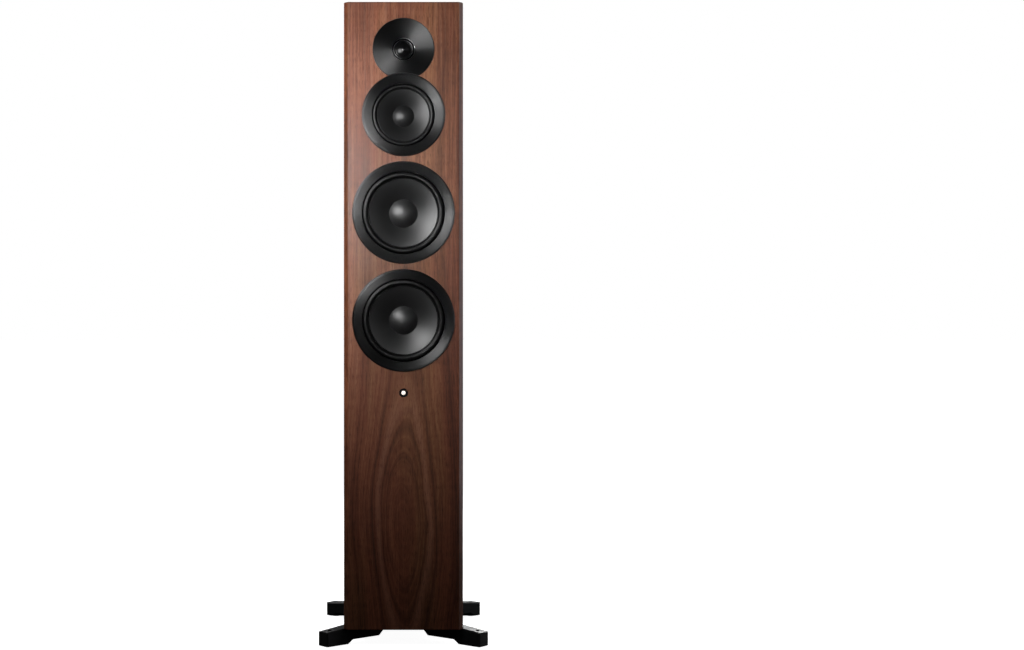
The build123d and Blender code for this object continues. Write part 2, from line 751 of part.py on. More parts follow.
def make_amplifier_plate():
    """The aluminium back plate, with heat-sink fins above and the sockets' cut-outs below."""
    with BuildPart() as plate:
        with BuildSketch(back_face(0, AMP_MIDDLE_Z, -AMP_PLATE)):
            RectangleRounded(AMP_WIDTH, AMP_HIGH_Z - AMP_LOW_Z, 5)
        extrude(amount=AMP_PLATE)
        chamfer(plate.edges().group_by(Axis.Y)[-1], length=0.8)
        fin_low, fin_high = FIN_RANGE
        with BuildSketch(back_face(0, (fin_low + fin_high) / 2)):
            with GridLocations(FIN_PITCH, 0, FINS, 1):
                Rectangle(FIN_THICK, fin_high - fin_low)
        extrude(amount=FIN_HEIGHT)
        with Locations(*[back_face(x, z) for x, z in amp_screw_places()]):
            Hole(AMP_SCREW["shank"] + 0.2, depth=AMP_PLATE)
        for x, z, width, high in (
            (INLET_X, INLET_Z, INLET_BODY[0], INLET_BODY[1]),
            (ROCKER_X, ROCKER_Z, ROCKER_BODY[0], ROCKER_BODY[1]),
            (NETWORK_X, NETWORK_Z, NETWORK_BODY[0], NETWORK_BODY[1]),
            (SWITCH_X, SWITCH_Z, SWITCH_KNOB[0] + SWITCH_TRAVEL + 1, SWITCH_KNOB[1] + 0.8),
        ):
            with BuildSketch(back_face(x, z)):
                Rectangle(width + 0.4, high + 0.4)
            extrude(amount=-AMP_PLATE, mode=Mode.SUBTRACT)
        with Locations(back_face(BUTTON_X, BUTTON_Z)):
            Hole(BUTTON_RADIUS + 0.35, depth=AMP_PLATE)
        with Locations(*[back_face(x, JACK_Z) for x in JACK_XS]):
            Hole(JACK_COLLAR - 1.8, depth=AMP_PLATE)
    save(plate, "amplifier_plate")


def make_amplifier_tray():
    """The sealed tray that keeps the electronics apart from the air in the bass chamber."""
    width = AMP_WIDTH - 2 * AMP_OPENING_MARGIN - 2
    high = AMP_HIGH_Z - AMP_LOW_Z - 2 * AMP_OPENING_MARGIN - 2
    with BuildPart() as tray:
        with BuildSketch(back_face(0, AMP_MIDDLE_Z, -AMP_PLATE)):
            RectangleRounded(width, high, 5)
        extrude(amount=-TRAY_DEPTH)
        with BuildSketch(back_face(0, AMP_MIDDLE_Z, -AMP_PLATE)):
            RectangleRounded(width - 2 * TRAY_WALL, high - 2 * TRAY_WALL, 3)
        extrude(amount=-(TRAY_DEPTH - TRAY_WALL), mode=Mode.SUBTRACT)
    save(tray, "amplifier_tray")


def make_amplifier_boards():
    """Two circuit boards on standoffs, with the power supply's and the amplifiers' largest components."""
    floor = -AMP_PLATE - TRAY_DEPTH + TRAY_WALL
    board_level, board = floor + 8, 1.6
    with BuildPart() as boards:
        for low, high in ((104, 268), (276, 470)):
            with BuildSketch(back_face(0, (low + high) / 2, board_level)):
                Rectangle(112, high - low)
            extrude(amount=board)
            with BuildSketch(back_face(0, (low + high) / 2, floor)):
                with GridLocations(96, high - low - 16, 2, 2):
                    Circle(3)
            extrude(amount=8)
        top = board_level + board
        with BuildSketch(back_face(0, 150, top)):  # transformer and mains filter
            with Locations((-30, 0), (22, -16)):
                Rectangle(38, 34)
        extrude(amount=22)
        with BuildSketch(back_face(0, 230, top)):  # reservoir capacitors
            with GridLocations(24, 26, 4, 2):
                Circle(10)
        extrude(amount=26)
        with BuildSketch(back_face(0, 330, top)):  # output inductors
            with GridLocations(26, 30, 4, 2):
                Circle(10)
                Circle(4, mode=Mode.SUBTRACT)
        extrude(amount=14)
        with BuildSketch(back_face(0, 420, top)):  # signal processor and network module
            with Locations((-26, 0), (26, 10), (26, -24)):
                Rectangle(30, 26)
        extrude(amount=4)
    save(boards, "amplifier_boards")


def make_mains_inlet():
    """A three-pin appliance inlet. The cord's connector goes into its pocket, around the blades."""
    with BuildPart() as inlet:
        with BuildSketch(back_face(INLET_X, INLET_Z)):
            RectangleRounded(INLET_BODY[0] + 5, INLET_BODY[1] + 4, 2)
        extrude(amount=INLET_FLANGE)
        with BuildSketch(back_face(INLET_X, INLET_Z)):
            Rectangle(*INLET_BODY)
        extrude(amount=-INLET_DEPTH)
        with BuildSketch(back_face(INLET_X, INLET_Z, INLET_FLANGE)):
            with BuildLine():
                half_w, half_h, cut = INLET_POCKET[0] / 2, INLET_POCKET[1] / 2, 4
                Polyline((-half_w, -half_h), (half_w, -half_h), (half_w, half_h - cut), (half_w - cut, half_h),
                         (-half_w + cut, half_h), (-half_w, half_h - cut), close=True)
            make_face()
        extrude(amount=-POCKET_DEPTH, mode=Mode.SUBTRACT)
        with BuildSketch(back_face(INLET_X, INLET_Z, INLET_FLANGE - POCKET_DEPTH)):
            with Locations((-7, -2), (7, -2), (0, 2.5)):
                Rectangle(2, 4)
        extrude(amount=BLADE_LENGTH)
    save(inlet, "mains_inlet")


def make_power_switch():
    """The power switch: a fixed frame, and a rocker on a cross axle that rests tilted to off."""
    with BuildPart() as frame:
        with BuildSketch(back_face(ROCKER_X, ROCKER_Z)):
            RectangleRounded(ROCKER_BODY[0] + 4, ROCKER_BODY[1] + 4, 1.5)
        extrude(amount=ROCKER_FLANGE)
        with BuildSketch(back_face(ROCKER_X, ROCKER_Z)):
            Rectangle(*ROCKER_BODY)
        extrude(amount=-ROCKER_DEPTH)
        with BuildSketch(back_face(ROCKER_X, ROCKER_Z, ROCKER_FLANGE)):
            Rectangle(*ROCKER_WINDOW)
        extrude(amount=-(ROCKER_DEPTH + ROCKER_FLANGE - 2), mode=Mode.SUBTRACT)
        with Locations(Location((ROCKER_X, AMP_FACE_Y + ROCKER_PIVOT, ROCKER_Z), (0, 90, 0))):
            Hole(AXLE_RADIUS + 0.05, depth=20)
            Cylinder(AXLE_RADIUS + 0.05, ROCKER_BODY[0] - 2, mode=Mode.SUBTRACT)
    save(frame, "power_switch_frame")

    tilt = radians(-ROCKER_TILT)
    half_length, proud, depth = ROCKER_WINDOW[1] / 2 - 1, 2.4, 3.6
    with BuildPart() as rocker:
        across = Plane(
            origin=(ROCKER_X - ROCKER_WINDOW[0] / 2 + 0.4, AMP_FACE_Y + ROCKER_PIVOT, ROCKER_Z),
            x_dir=(0, cos(tilt), sin(tilt)),
            z_dir=(1, 0, 0),
        )
        with BuildSketch(across):
            with BuildLine():
                Polyline((proud - 0.9, 0), (proud + 0.7, half_length), (-depth + 1.4, half_length - 0.6),
                         (-depth, 0), (-depth + 1.4, -half_length + 0.6), (proud + 0.7, -half_length), close=True)
            make_face()
        extrude(amount=ROCKER_WINDOW[0] - 0.8)
        with Locations(Location((ROCKER_X, AMP_FACE_Y + ROCKER_PIVOT, ROCKER_Z), (0, 90, 0))):
            Cylinder(AXLE_RADIUS, ROCKER_BODY[0] - 2.6)
    save(rocker, "power_rocker")


def make_network_jack():
    """A network socket: a box with the plug's opening, and the latch's slot under it."""
    with BuildPart() as jack:
        with BuildSketch(back_face(NETWORK_X, NETWORK_Z, 0.8)):
            Rectangle(*NETWORK_BODY)
            Rectangle(*NETWORK_OPENING, mode=Mode.SUBTRACT)
            with Locations((0, -NETWORK_OPENING[1] / 2 - 1)):
                Rectangle(6, 2.1, mode=Mode.SUBTRACT)
        extrude(amount=-13.8)
        with BuildSketch(back_face(NETWORK_X, NETWORK_Z, -13)):
            Rectangle(*NETWORK_BODY)
        extrude(amount=-3)
    save(jack, "network_jack")


def make_channel_switch():
    """The left/right switch: a knob on a slider behind the plate, resting at the left end of its slot."""
    start_x = SWITCH_X - SWITCH_TRAVEL / 2
    with BuildPart() as switch:
        with BuildSketch(back_face(start_x, SWITCH_Z, -AMP_PLATE - 0.4)):
            Rectangle(*SWITCH_KNOB)
        extrude(amount=AMP_PLATE + 4.4)
        chamfer(switch.edges().group_by(Axis.Y)[-1], length=0.5)
        with BuildSketch(back_face(start_x, SWITCH_Z, -AMP_PLATE - 0.4)):
            Rectangle(SWITCH_KNOB[0] + 8, SWITCH_KNOB[1] + 4)
        extrude(amount=-2)
    save(switch, "channel_switch")


def make_pairing_button():
    """A round push button with a collar behind the plate that keeps it in."""
    with BuildPart() as button:
        with BuildSketch(back_face(BUTTON_X, BUTTON_Z, -AMP_PLATE - 0.3)):
            Circle(BUTTON_RADIUS)
        extrude(amount=AMP_PLATE + 2.6)
        fillet(button.edges().group_by(Axis.Y)[-1], radius=0.6)
        with BuildSketch(back_face(BUTTON_X, BUTTON_Z, -AMP_PLATE - 0.3)):
            Circle(BUTTON_RADIUS + 1.5)
        extrude(amount=-1.5)
    save(button, "pairing_button")


def make_audio_jacks():
    """Four coaxial jacks, each a collar, a contact barrel and an insulator with the centre pin's hole."""
    with BuildPart() as jacks:
        for x in JACK_XS:
            origin = (x, AMP_FACE_Y, JACK_Z)
            with BuildSketch(Plane(origin=origin, x_dir=(1, 0, 0), z_dir=(0, 0, 1))):
                Polygon(
                    (JACK_HOLE, JACK_LENGTH - 0.6),
                    (JACK_HOLE, -2),
                    (0, -2),
                    (0, -8),
                    (JACK_COLLAR - 2, -8),
                    (JACK_COLLAR - 2, 0),
                    (JACK_COLLAR, 0),
                    (JACK_COLLAR, 1.6),
                    (JACK_COLLAR - 0.5, 2),
                    (JACK_RADIUS, 2),
                    (JACK_RADIUS, JACK_LENGTH),
                    (JACK_RADIUS - 0.7, JACK_LENGTH),
                    (JACK_RADIUS - 0.7, JACK_LENGTH - 0.6),
                    align=None,
                )
            revolve(axis=Axis(origin, (0, 1, 0)))
    save(jacks, "audio_jacks")


def make_amplifier_screws():
    with BuildPart() as screws:
        for x, z in amp_screw_places():
            origin = (x, AMP_FACE_Y, z)
            with BuildSketch(Plane(origin=origin, x_dir=(1, 0, 0), z_dir=(0, 0, 1))):
                with BuildLine():
                    Polyline((0, 1.2), (0, -AMP_SCREW["length"]), (AMP_SCREW["shank"], -AMP_SCREW["length"] + 2),
                             (AMP_SCREW["shank"], 0), (AMP_SCREW["head"], 0), (AMP_SCREW["head"], 0.8))
                    ThreePointArc((AMP_SCREW["head"], 0.8), (2.6, 1.8), (1.2, 2.2))
                    Line((1.2, 2.2), (0, 1.2))
                make_face()
            revolve(axis=Axis(origin, (0, 1, 0)))
    save(screws, "amplifier_screws")


# ---------------------------------------------------------------- feet

def foot_plane(side, end):
    """A vertical plane down the middle of an arm: x runs inwards from the tip, y is up."""
    origin = (side * FOOT_TIP_X, end * FOOT_TIP_Y, 0)
    inwards = (-side * cos(radians(FOOT_ANGLE)), -end * sin(radians(FOOT_ANGLE)), 0)
    across = (inwards[1], -inwards[0], 0)
    return Plane(origin=origin, x_dir=inwards, z_dir=across)


def along_foot(side, end, distance):
    """A point on an arm's middle line in plan, at a distance from its tip."""
    angle = radians(FOOT_ANGLE)
    return (
        side * (FOOT_TIP_X - distance * cos(angle)),
        end * (FOOT_TIP_Y - distance * sin(angle)),
    )


def bolt_places():
    return [along_foot(side, end, distance) for _, side, end in FEET for distance in BOLT_DISTANCES]


def make_outrigger(name, side, end):
    """One cast arm: a block over the levelling foot, and a bar that runs in under the cabinet."""
    with BuildPart() as arm:
        with BuildSketch(foot_plane(side, end)):
            Polygon(
                (0, FOOT_BLOCK_LOW),
                (FOOT_LENGTH - FOOT_TAPER, FOOT_BLOCK_LOW),
                (FOOT_LENGTH - FOOT_TAPER, FOOT_ARM_LOW),
                (FOOT_LENGTH, UNDERSIDE - 8),
                (FOOT_LENGTH, UNDERSIDE),
                (FOOT_SHOULDER, UNDERSIDE),
                (FOOT_SHOULDER, FOOT_TIP_HIGH + FOOT_TOP_RISE * FOOT_SHOULDER),
                (0, FOOT_TIP_HIGH),
                align=None,
            )
        extrude(amount=FOOT_WIDTH / 2, both=True)
        with BuildSketch(Plane.YZ):
            Polygon(
                (end * FOOT_STEP_Y, FOOT_BLOCK_LOW),
                (end * (FOOT_STEP_Y - FOOT_ARM_LOW + FOOT_BLOCK_LOW), FOOT_ARM_LOW),
                (0, FOOT_ARM_LOW),
                (0, FOOT_BLOCK_LOW),
                align=None,
            )
        extrude(amount=CABINET_WIDTH, both=True, mode=Mode.SUBTRACT)
        outward = arm.edges().filter_by(
            lambda e: abs((e @ 0).Z - (e @ 1).Z) > 5 and on_tip(e, side, end)
        )
        chamfer(outward, length=2)
        ridges = arm.edges().filter_by(lambda e: is_ridge(e))
        chamfer(ridges, length=FOOT_FACET)
        with BuildSketch(Plane.XY.offset(UNDERSIDE)):
            Rectangle(CABINET_WIDTH + 2 * FOOT_SHOULDER_GAP, CABINET_DEPTH + 2 * FOOT_SHOULDER_GAP)
        extrude(amount=FOOT_SHOULDER, mode=Mode.SUBTRACT)
        x, y = along_foot(side, end, STUD_INSET)
        with Locations((x, y, UNDERSIDE)):
            Hole(STUD_BORE, depth=UNDERSIDE)
        with Locations(Location((x, y, FOOT_BLOCK_LOW), (180, 0, 0))):
            Hole(PAD_RADIUS + 0.5, depth=PAD_HIGH - FOOT_BLOCK_LOW + 0.4)
        with Locations(*[
            Location((*along_foot(side, end, d), FOOT_ARM_LOW), (180, 0, 0)) for d in BOLT_DISTANCES
        ]):
            CounterSinkHole(BOLT["shank"] + 0.3, BOLT["head"] + 0.3, counter_sink_angle=90)
    save(arm, name)


def on_tip(edge, side, end):
    """Whether a vertical edge is one of the two at the arm's outer end."""
    tip = foot_plane(side, end)
    return abs(tip.to_local_coords(edge @ 0).X) < 0.1 and abs(tip.to_local_coords(edge @ 1).X) < 0.1


def is_ridge(edge):
    """Whether an edge is one of the long top edges of an arm, along its slope."""
    low = min((edge @ 0).Z, (edge @ 1).Z)
    return edge.length > FOOT_SHOULDER - 5 and low > FOOT_TIP_HIGH - 1


def make_levelling_foot(name, side, end):
    """A rubber pad that stays still on the floor, and the stud that turns in the arm and stands on it."""
    x, y = along_foot(side, end, STUD_INSET)
    with BuildPart() as pad:
        with BuildSketch(Plane.XY):
            with Locations((x, y)):
                Circle(PAD_RADIUS)
        extrude(amount=PAD_HIGH)
        chamfer(pad.edges().group_by(Axis.Z)[0], length=0.6)
    save(pad, f"levelling_pad_{name}")

    with BuildPart() as stud:
        with BuildSketch(Plane.XY.offset(PAD_HIGH)):
            with Locations((x, y)):
                Circle(STUD_RADIUS)
        extrude(amount=STUD_TOP - PAD_HIGH)
        with BuildSketch(Plane.XY.offset(STUD_TOP)):
            with Locations((x, y)):
                RegularPolygon(2.3, 6)
        extrude(amount=-5, mode=Mode.SUBTRACT)
    save(stud, f"levelling_stud_{name}")


def make_outrigger_bolts():
    with BuildPart() as bolts:
        length = UNDERSIDE - FOOT_ARM_LOW + BOLT_IN_PANEL
        with Locations(*[Location((x, y, FOOT_ARM_LOW), (180, 0, 0)) for x, y in bolt_places()]):
            add(countersunk_screw({**BOLT, "length": length}))
    save(bolts, "outrigger_bolts")


# ---------------------------------------------------------------- build everything

make_front_baffle()
make_wrap()
make_rear_panel()
make_cabinet_braces()
make_midrange_chamber()
make_damping_pads()
for driver, height, size in (
    ("midrange", MIDRANGE_Z, MIDRANGE),
    ("upper_woofer", UPPER_WOOFER_Z, WOOFER),
    ("lower_woofer", LOWER_WOOFER_Z, WOOFER),
):
    make_trim_ring(f"{driver}_trim_ring", height, size)
    make_basket(f"{driver}_basket", height, size)
    make_surround(f"{driver}_surround", height, size)
    make_cone(f"{driver}_cone", height, size)
    make_voice_coil(f"{driver}_voice_coil", height, size)
make_spiders()
make_magnets()
make_motor_plates()
make_driver_gaskets()
make_driver_screws()
make_tweeter()
make_status_light()
make_amplifier_plate()
make_amplifier_tray()
make_amplifier_boards()
make_mains_inlet()
make_power_switch()
make_network_jack()
make_channel_switch()
make_pairing_button()
make_audio_jacks()
make_amplifier_screws()
for foot, side, end in FEET:
    make_outrigger(f"outrigger_{foot}", side, end)
    make_levelling_foot(foot, side, end)
make_outrigger_bolts()
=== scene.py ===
"""Looks of the floorstanding speaker: veneer, satin rings, soft surrounds, cast feet, studio.

Metres, +Z up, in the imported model's frame. The baffle faces -Y.
A driver's section is a list of (radius, height) points, where height is measured out of the baffle's face.
"""

from math import cos, pi, radians, sin, sqrt

import bmesh
import bpy
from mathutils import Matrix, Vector
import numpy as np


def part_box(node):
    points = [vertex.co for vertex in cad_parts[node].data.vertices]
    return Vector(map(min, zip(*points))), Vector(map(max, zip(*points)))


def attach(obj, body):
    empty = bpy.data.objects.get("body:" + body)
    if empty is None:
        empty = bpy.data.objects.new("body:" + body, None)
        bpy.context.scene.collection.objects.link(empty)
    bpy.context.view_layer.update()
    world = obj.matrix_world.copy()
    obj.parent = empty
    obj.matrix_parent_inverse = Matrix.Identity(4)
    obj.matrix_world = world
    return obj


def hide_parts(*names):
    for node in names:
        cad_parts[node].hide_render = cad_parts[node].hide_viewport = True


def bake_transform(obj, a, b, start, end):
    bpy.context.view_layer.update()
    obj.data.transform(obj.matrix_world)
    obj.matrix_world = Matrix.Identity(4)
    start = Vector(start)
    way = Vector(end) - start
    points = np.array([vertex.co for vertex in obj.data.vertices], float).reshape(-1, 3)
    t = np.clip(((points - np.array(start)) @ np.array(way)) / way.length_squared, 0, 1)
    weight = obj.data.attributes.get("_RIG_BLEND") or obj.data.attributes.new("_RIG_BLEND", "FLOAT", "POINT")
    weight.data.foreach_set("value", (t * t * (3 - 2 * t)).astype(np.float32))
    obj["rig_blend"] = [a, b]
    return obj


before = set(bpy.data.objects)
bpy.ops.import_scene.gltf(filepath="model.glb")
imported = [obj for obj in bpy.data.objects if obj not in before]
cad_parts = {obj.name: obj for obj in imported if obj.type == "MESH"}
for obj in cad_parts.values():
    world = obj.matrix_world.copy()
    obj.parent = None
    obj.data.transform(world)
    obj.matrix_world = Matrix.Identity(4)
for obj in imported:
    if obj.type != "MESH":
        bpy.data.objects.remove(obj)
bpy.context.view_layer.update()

MM = 0.001
CABINET = "cabinet"
CONE_DRIVERS = ("midrange", "upper_woofer", "lower_woofer")
FEET = ("front_left", "front_right", "rear_left", "rear_right")

# Thicknesses and lands of the drivers' soft and pressed parts
RUBBER_SKIN = 0.8 * MM
GLUE_LAND = 1.8 * MM  # where a surround is glued to its cone
LEDGE = 2.8 * MM  # where a surround is held under its trim ring
CONE_WALL = 0.9 * MM
CONE_RIM = 1.6 * MM
COIL_NECK = 0.7 * MM  # half the thickness of the neck that joins a cone to its voice coil
DOME_RADIUS = 14 * MM
DOME_CLOTH = 0.4 * MM
DOME_ROLL = (16.9 * MM, 2.2 * MM, 2.1 * MM)  # the dome's roll: middle radius, half width and rise
DOME_EDGE = 19.9 * MM

baffle_low, baffle_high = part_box("front_baffle")
FACE_Y = baffle_low.y


# ---------------------------------------------------------------- camera, floor and light

CAMERA_DISTANCE = 2.986  # from the baffle's face
CAMERA_HEIGHT = 0.5806
LENS = 58.06
SENSOR_WIDTH = 36
SIDE_SHIFT = 0.1060  # the speaker stands left of the middle of the view

FILL_FRONT = 0.02  # strength of the soft fill that comes from the front
FILL_BACK = 0.10
FILL_TURN = (-0.1, 0.5)  # where the fill changes from front to back, as the Y of its direction
FLOOR_RADIUS = 60
FLOOR_TONE = 0.80  # the floor as the camera sees it
FLOOR_BOUNCE = 0.04  # the floor as a reflector: dark, so that the speaker's foot stays in shade
FLOOR_SHADED_GLOW = 0.96  # light that the camera sees on the floor under the speaker, lowered there as painted shade; farther out it reaches 1
FLOOR_GLOW_REACH = (0.25, 1.3)


def point_at(obj, target):
    """Turns a light towards a point."""
    obj.rotation_euler = (Vector(target) - obj.location).to_track_quat("-Z", "Y").to_euler()


def add_camera():
    camera = bpy.data.objects.new("camera", bpy.data.cameras.new("camera"))
    camera.data.lens = LENS
    camera.data.sensor_width = SENSOR_WIDTH
    camera.data.shift_x = SIDE_SHIFT
    camera.location = (0, FACE_Y - CAMERA_DISTANCE, CAMERA_HEIGHT)
    camera.rotation_euler = (radians(90), 0, 0)
    bpy.context.scene.collection.objects.link(camera)
    bpy.context.scene.camera = camera


def add_softbox(name, place, target, width, height, power, spread=180, colour=(1, 1, 1)):
    """A rectangular light that the camera doesn't see. The spread is in degrees."""
    light = bpy.data.objects.new(name, bpy.data.lights.new(name, "AREA"))
    light.data.shape = "RECTANGLE"
    light.data.size = width
    light.data.size_y = height
    light.data.energy = power
    light.data.spread = radians(spread)
    light.data.color = colour
    light.location = place
    point_at(light, target)
    light.visible_camera = False
    bpy.context.scene.collection.objects.link(light)


def add_world():
    """White behind the speaker. As fill light it is dim in front of the speaker and brighter behind it."""
    world = bpy.data.worlds.new("studio")
    bpy.context.scene.world = world
    world.use_nodes = True
    tree = world.node_tree
    tree.nodes.clear()
    coordinates = tree.nodes.new("ShaderNodeTexCoord")
    split = tree.nodes.new("ShaderNodeSeparateXYZ")
    depth = tree.nodes.new("ShaderNodeMapRange")
    depth.inputs["From Min"].default_value = FILL_TURN[0]
    depth.inputs["From Max"].default_value = FILL_TURN[1]
    depth.inputs["To Min"].default_value = FILL_FRONT
    depth.inputs["To Max"].default_value = FILL_BACK
    fill = tree.nodes.new("ShaderNodeBackground")
    backdrop = tree.nodes.new("ShaderNodeBackground")
    path = tree.nodes.new("ShaderNodeLightPath")
    mix = tree.nodes.new("ShaderNodeMixShader")
    output = tree.nodes.new("ShaderNodeOutputWorld")
    backdrop.inputs["Color"].default_value = (1, 1, 1, 1)
    tree.links.new(coordinates.outputs["Generated"], split.inputs["Vector"])
    tree.links.new(split.outputs["Y"], depth.inputs["Value"])
    tree.links.new(depth.outputs["Result"], fill.inputs["Strength"])
    tree.links.new(path.outputs["Is Camera Ray"], mix.inputs["Fac"])
    tree.links.new(fill.outputs["Background"], mix.inputs[1])
    tree.links.new(backdrop.outputs["Background"], mix.inputs[2])
    tree.links.new(mix.outputs["Shader"], output.inputs["Surface"])


def add_floor():
    """A wide pale floor with painted shade near the speaker, which fades to white away from it."""
    bm = bmesh.new()
    bmesh.ops.create_circle(bm, cap_ends=True, radius=FLOOR_RADIUS, segments=64)
    mesh = bpy.data.meshes.new("studio_floor")
    bm.to_mesh(mesh)
    bm.free()
    floor = bpy.data.objects.new("studio_floor", mesh)
    bpy.context.scene.collection.objects.link(floor)
    material = bpy.data.materials.new("studio_floor")
    material.use_nodes = True
    shader = material.node_tree.nodes["Principled BSDF"]
    shader.inputs["Roughness"].default_value = 0.7
    shader.inputs["Emission Color"].default_value = (1, 1, 1, 1)
    nodes, links = material.node_tree.nodes, material.node_tree.links
    path = nodes.new("ShaderNodeLightPath")
    glow = nodes.new("ShaderNodeMath")
    glow.operation = "MULTIPLY"
    tone = nodes.new("ShaderNodeMapRange")
    tone.inputs["To Min"].default_value = FLOOR_BOUNCE
    tone.inputs["To Max"].default_value = FLOOR_TONE
    place = nodes.new("ShaderNodeTexCoord")
    distance = nodes.new("ShaderNodeVectorMath")
    distance.operation = "LENGTH"
    # Painted shade: the floor's glow is lower near the speaker and rises to 1 farther out.
    painted_shade_fade = nodes.new("ShaderNodeMapRange")
    painted_shade_fade.inputs["From Min"].default_value = FLOOR_GLOW_REACH[0]
    painted_shade_fade.inputs["From Max"].default_value = FLOOR_GLOW_REACH[1]
    painted_shade_fade.inputs["To Min"].default_value = FLOOR_SHADED_GLOW
    painted_shade_fade.inputs["To Max"].default_value = 1.0
    links.new(place.outputs["Object"], distance.inputs[0])
    links.new(distance.outputs["Value"], painted_shade_fade.inputs["Value"])
    links.new(path.outputs["Is Camera Ray"], glow.inputs[0])
    links.new(painted_shade_fade.outputs["Result"], glow.inputs[1])
    links.new(path.outputs["Is Camera Ray"], tone.inputs["Value"])
    links.new(glow.outputs["Value"], shader.inputs["Emission Strength"])
    links.new(tone.outputs["Result"], shader.inputs["Base Color"])
    floor.data.materials.append(material)


def add_studio():
    add_camera()
    add_world()
    add_floor()
    bpy.context.scene.view_settings.view_transform = "Standard"
    add_softbox("key_light", (-0.45, FACE_Y - 2.5, 1.00), (0, FACE_Y, 0.90), 0.22, 0.22, 1.35, 37)
    add_softbox("near_light", (-0.34, FACE_Y - 0.42, 0.98), (-0.02, FACE_Y, 0.89), 0.36, 0.36, 3.1, 130)
    add_softbox("right_front_light", (1.6, -2.2, 1.5), (0, FACE_Y, 0.9), 1.1, 1.3, 0.35, 60)
    add_softbox("right_strip_light", (1.9, -0.15, 0.9), (0, -0.15, 0.8), 0.24, 1.7, 1.7, 70, (0.96, 0.93, 1))
    add_softbox("back_left_light", (-1.8, 2.2, 1.9), (0, 0.16, 0.6), 0.9, 1.2, 20, 120)
    add_softbox("back_right_light", (1.8, 1.8, 1.2), (0, 0.16, 0.6), 0.7, 1.2, 10, 120)
    add_softbox("back_light", (0.5, 2.8, 1.5), (0, 0.16, 0.5), 1.0, 1.0, 16, 90)


# ---------------------------------------------------------------- node helpers

class Graph:
    """A small helper that adds and joins nodes in one node tree."""

    def __init__(self, tree):
        self.tree = tree

    def put(self, value, socket):
        if isinstance(value, bpy.types.NodeSocket):
            self.tree.links.new(value, socket)
        elif value is not None:
            socket.default_value = value

    def node(self, kind, inputs=(), **settings):
        made = self.tree.nodes.new(kind)
        for name, value in settings.items():
            setattr(made, name, value)
        for name, value in dict(inputs).items():
            self.put(value, made.inputs[name])
        return made

    def math(self, operation, a, b=None, c=None, clamp=False):
        made = self.node("ShaderNodeMath", operation=operation, use_clamp=clamp)
        for socket, value in zip(made.inputs, (a, b, c)):
            self.put(value, socket)
        return made.outputs["Value"]

    def ramp(self, value, stops, interpolation="LINEAR"):
        made = self.node("ShaderNodeValToRGB", {"Fac": value})
        bar = made.color_ramp
        bar.interpolation = interpolation
        while len(bar.elements) < len(stops):
            bar.elements.new(0.5)
        for element, (place, colour) in zip(bar.elements, stops):
            element.position = place
            element.color = (*colour, 1) if isinstance(colour, tuple) else (colour, colour, colour, 1)
        return made.outputs["Color"]

    def noise(self, vector, scale, detail=2.0, roughness=0.5, distortion=0.0):
        made = self.node(
            "ShaderNodeTexNoise",
            {"Vector": vector, "Scale": scale, "Detail": detail, "Roughness": roughness,
             "Distortion": distortion},
        )
        return made.outputs["Fac"]

    def line_noise(self, value, detail=2.0, roughness=0.5):
        made = self.node("ShaderNodeTexNoise", {"W": value, "Scale": 1.0, "Detail": detail,
                                                "Roughness": roughness}, noise_dimensions="1D")
        return made.outputs["Fac"]

    def scaled(self, vector, x, y, z):
        made = self.node("ShaderNodeVectorMath", operation="MULTIPLY")
        self.put(vector, made.inputs[0])
        made.inputs[1].default_value = (x, y, z)
        return made.outputs["Vector"]

    def mix(self, factor, a, b, blend="MIX"):
        made = self.node("ShaderNodeMix", data_type="RGBA", blend_type=blend)
        self.put(factor, made.inputs["Factor"])
        colours = [s for s in made.inputs if s.type == "RGBA"]
        self.put((*a, 1) if isinstance(a, tuple) else a, colours[0])
        self.put((*b, 1) if isinstance(b, tuple) else b, colours[1])
        return [s for s in made.outputs if s.type == "RGBA"][0]


def new_group(name, inputs, outputs):
    """An empty shader node group: its graph, its input sockets by name, and its output node."""
    tree = bpy.data.node_groups.new(name, "ShaderNodeTree")
    for label, kind, default in inputs:
        socket = tree.interface.new_socket(label, in_out="INPUT", socket_type=kind)
        if default is not None:
            socket.default_value = default
    for label, kind in outputs:
        tree.interface.new_socket(label, in_out="OUTPUT", socket_type=kind)
    graph = Graph(tree)
    return graph, graph.node("NodeGroupInput").outputs, graph.node("NodeGroupOutput").inputs


FLOAT, COLOUR, VECTOR = "NodeSocketFloat", "NodeSocketColor", "NodeSocketVector"


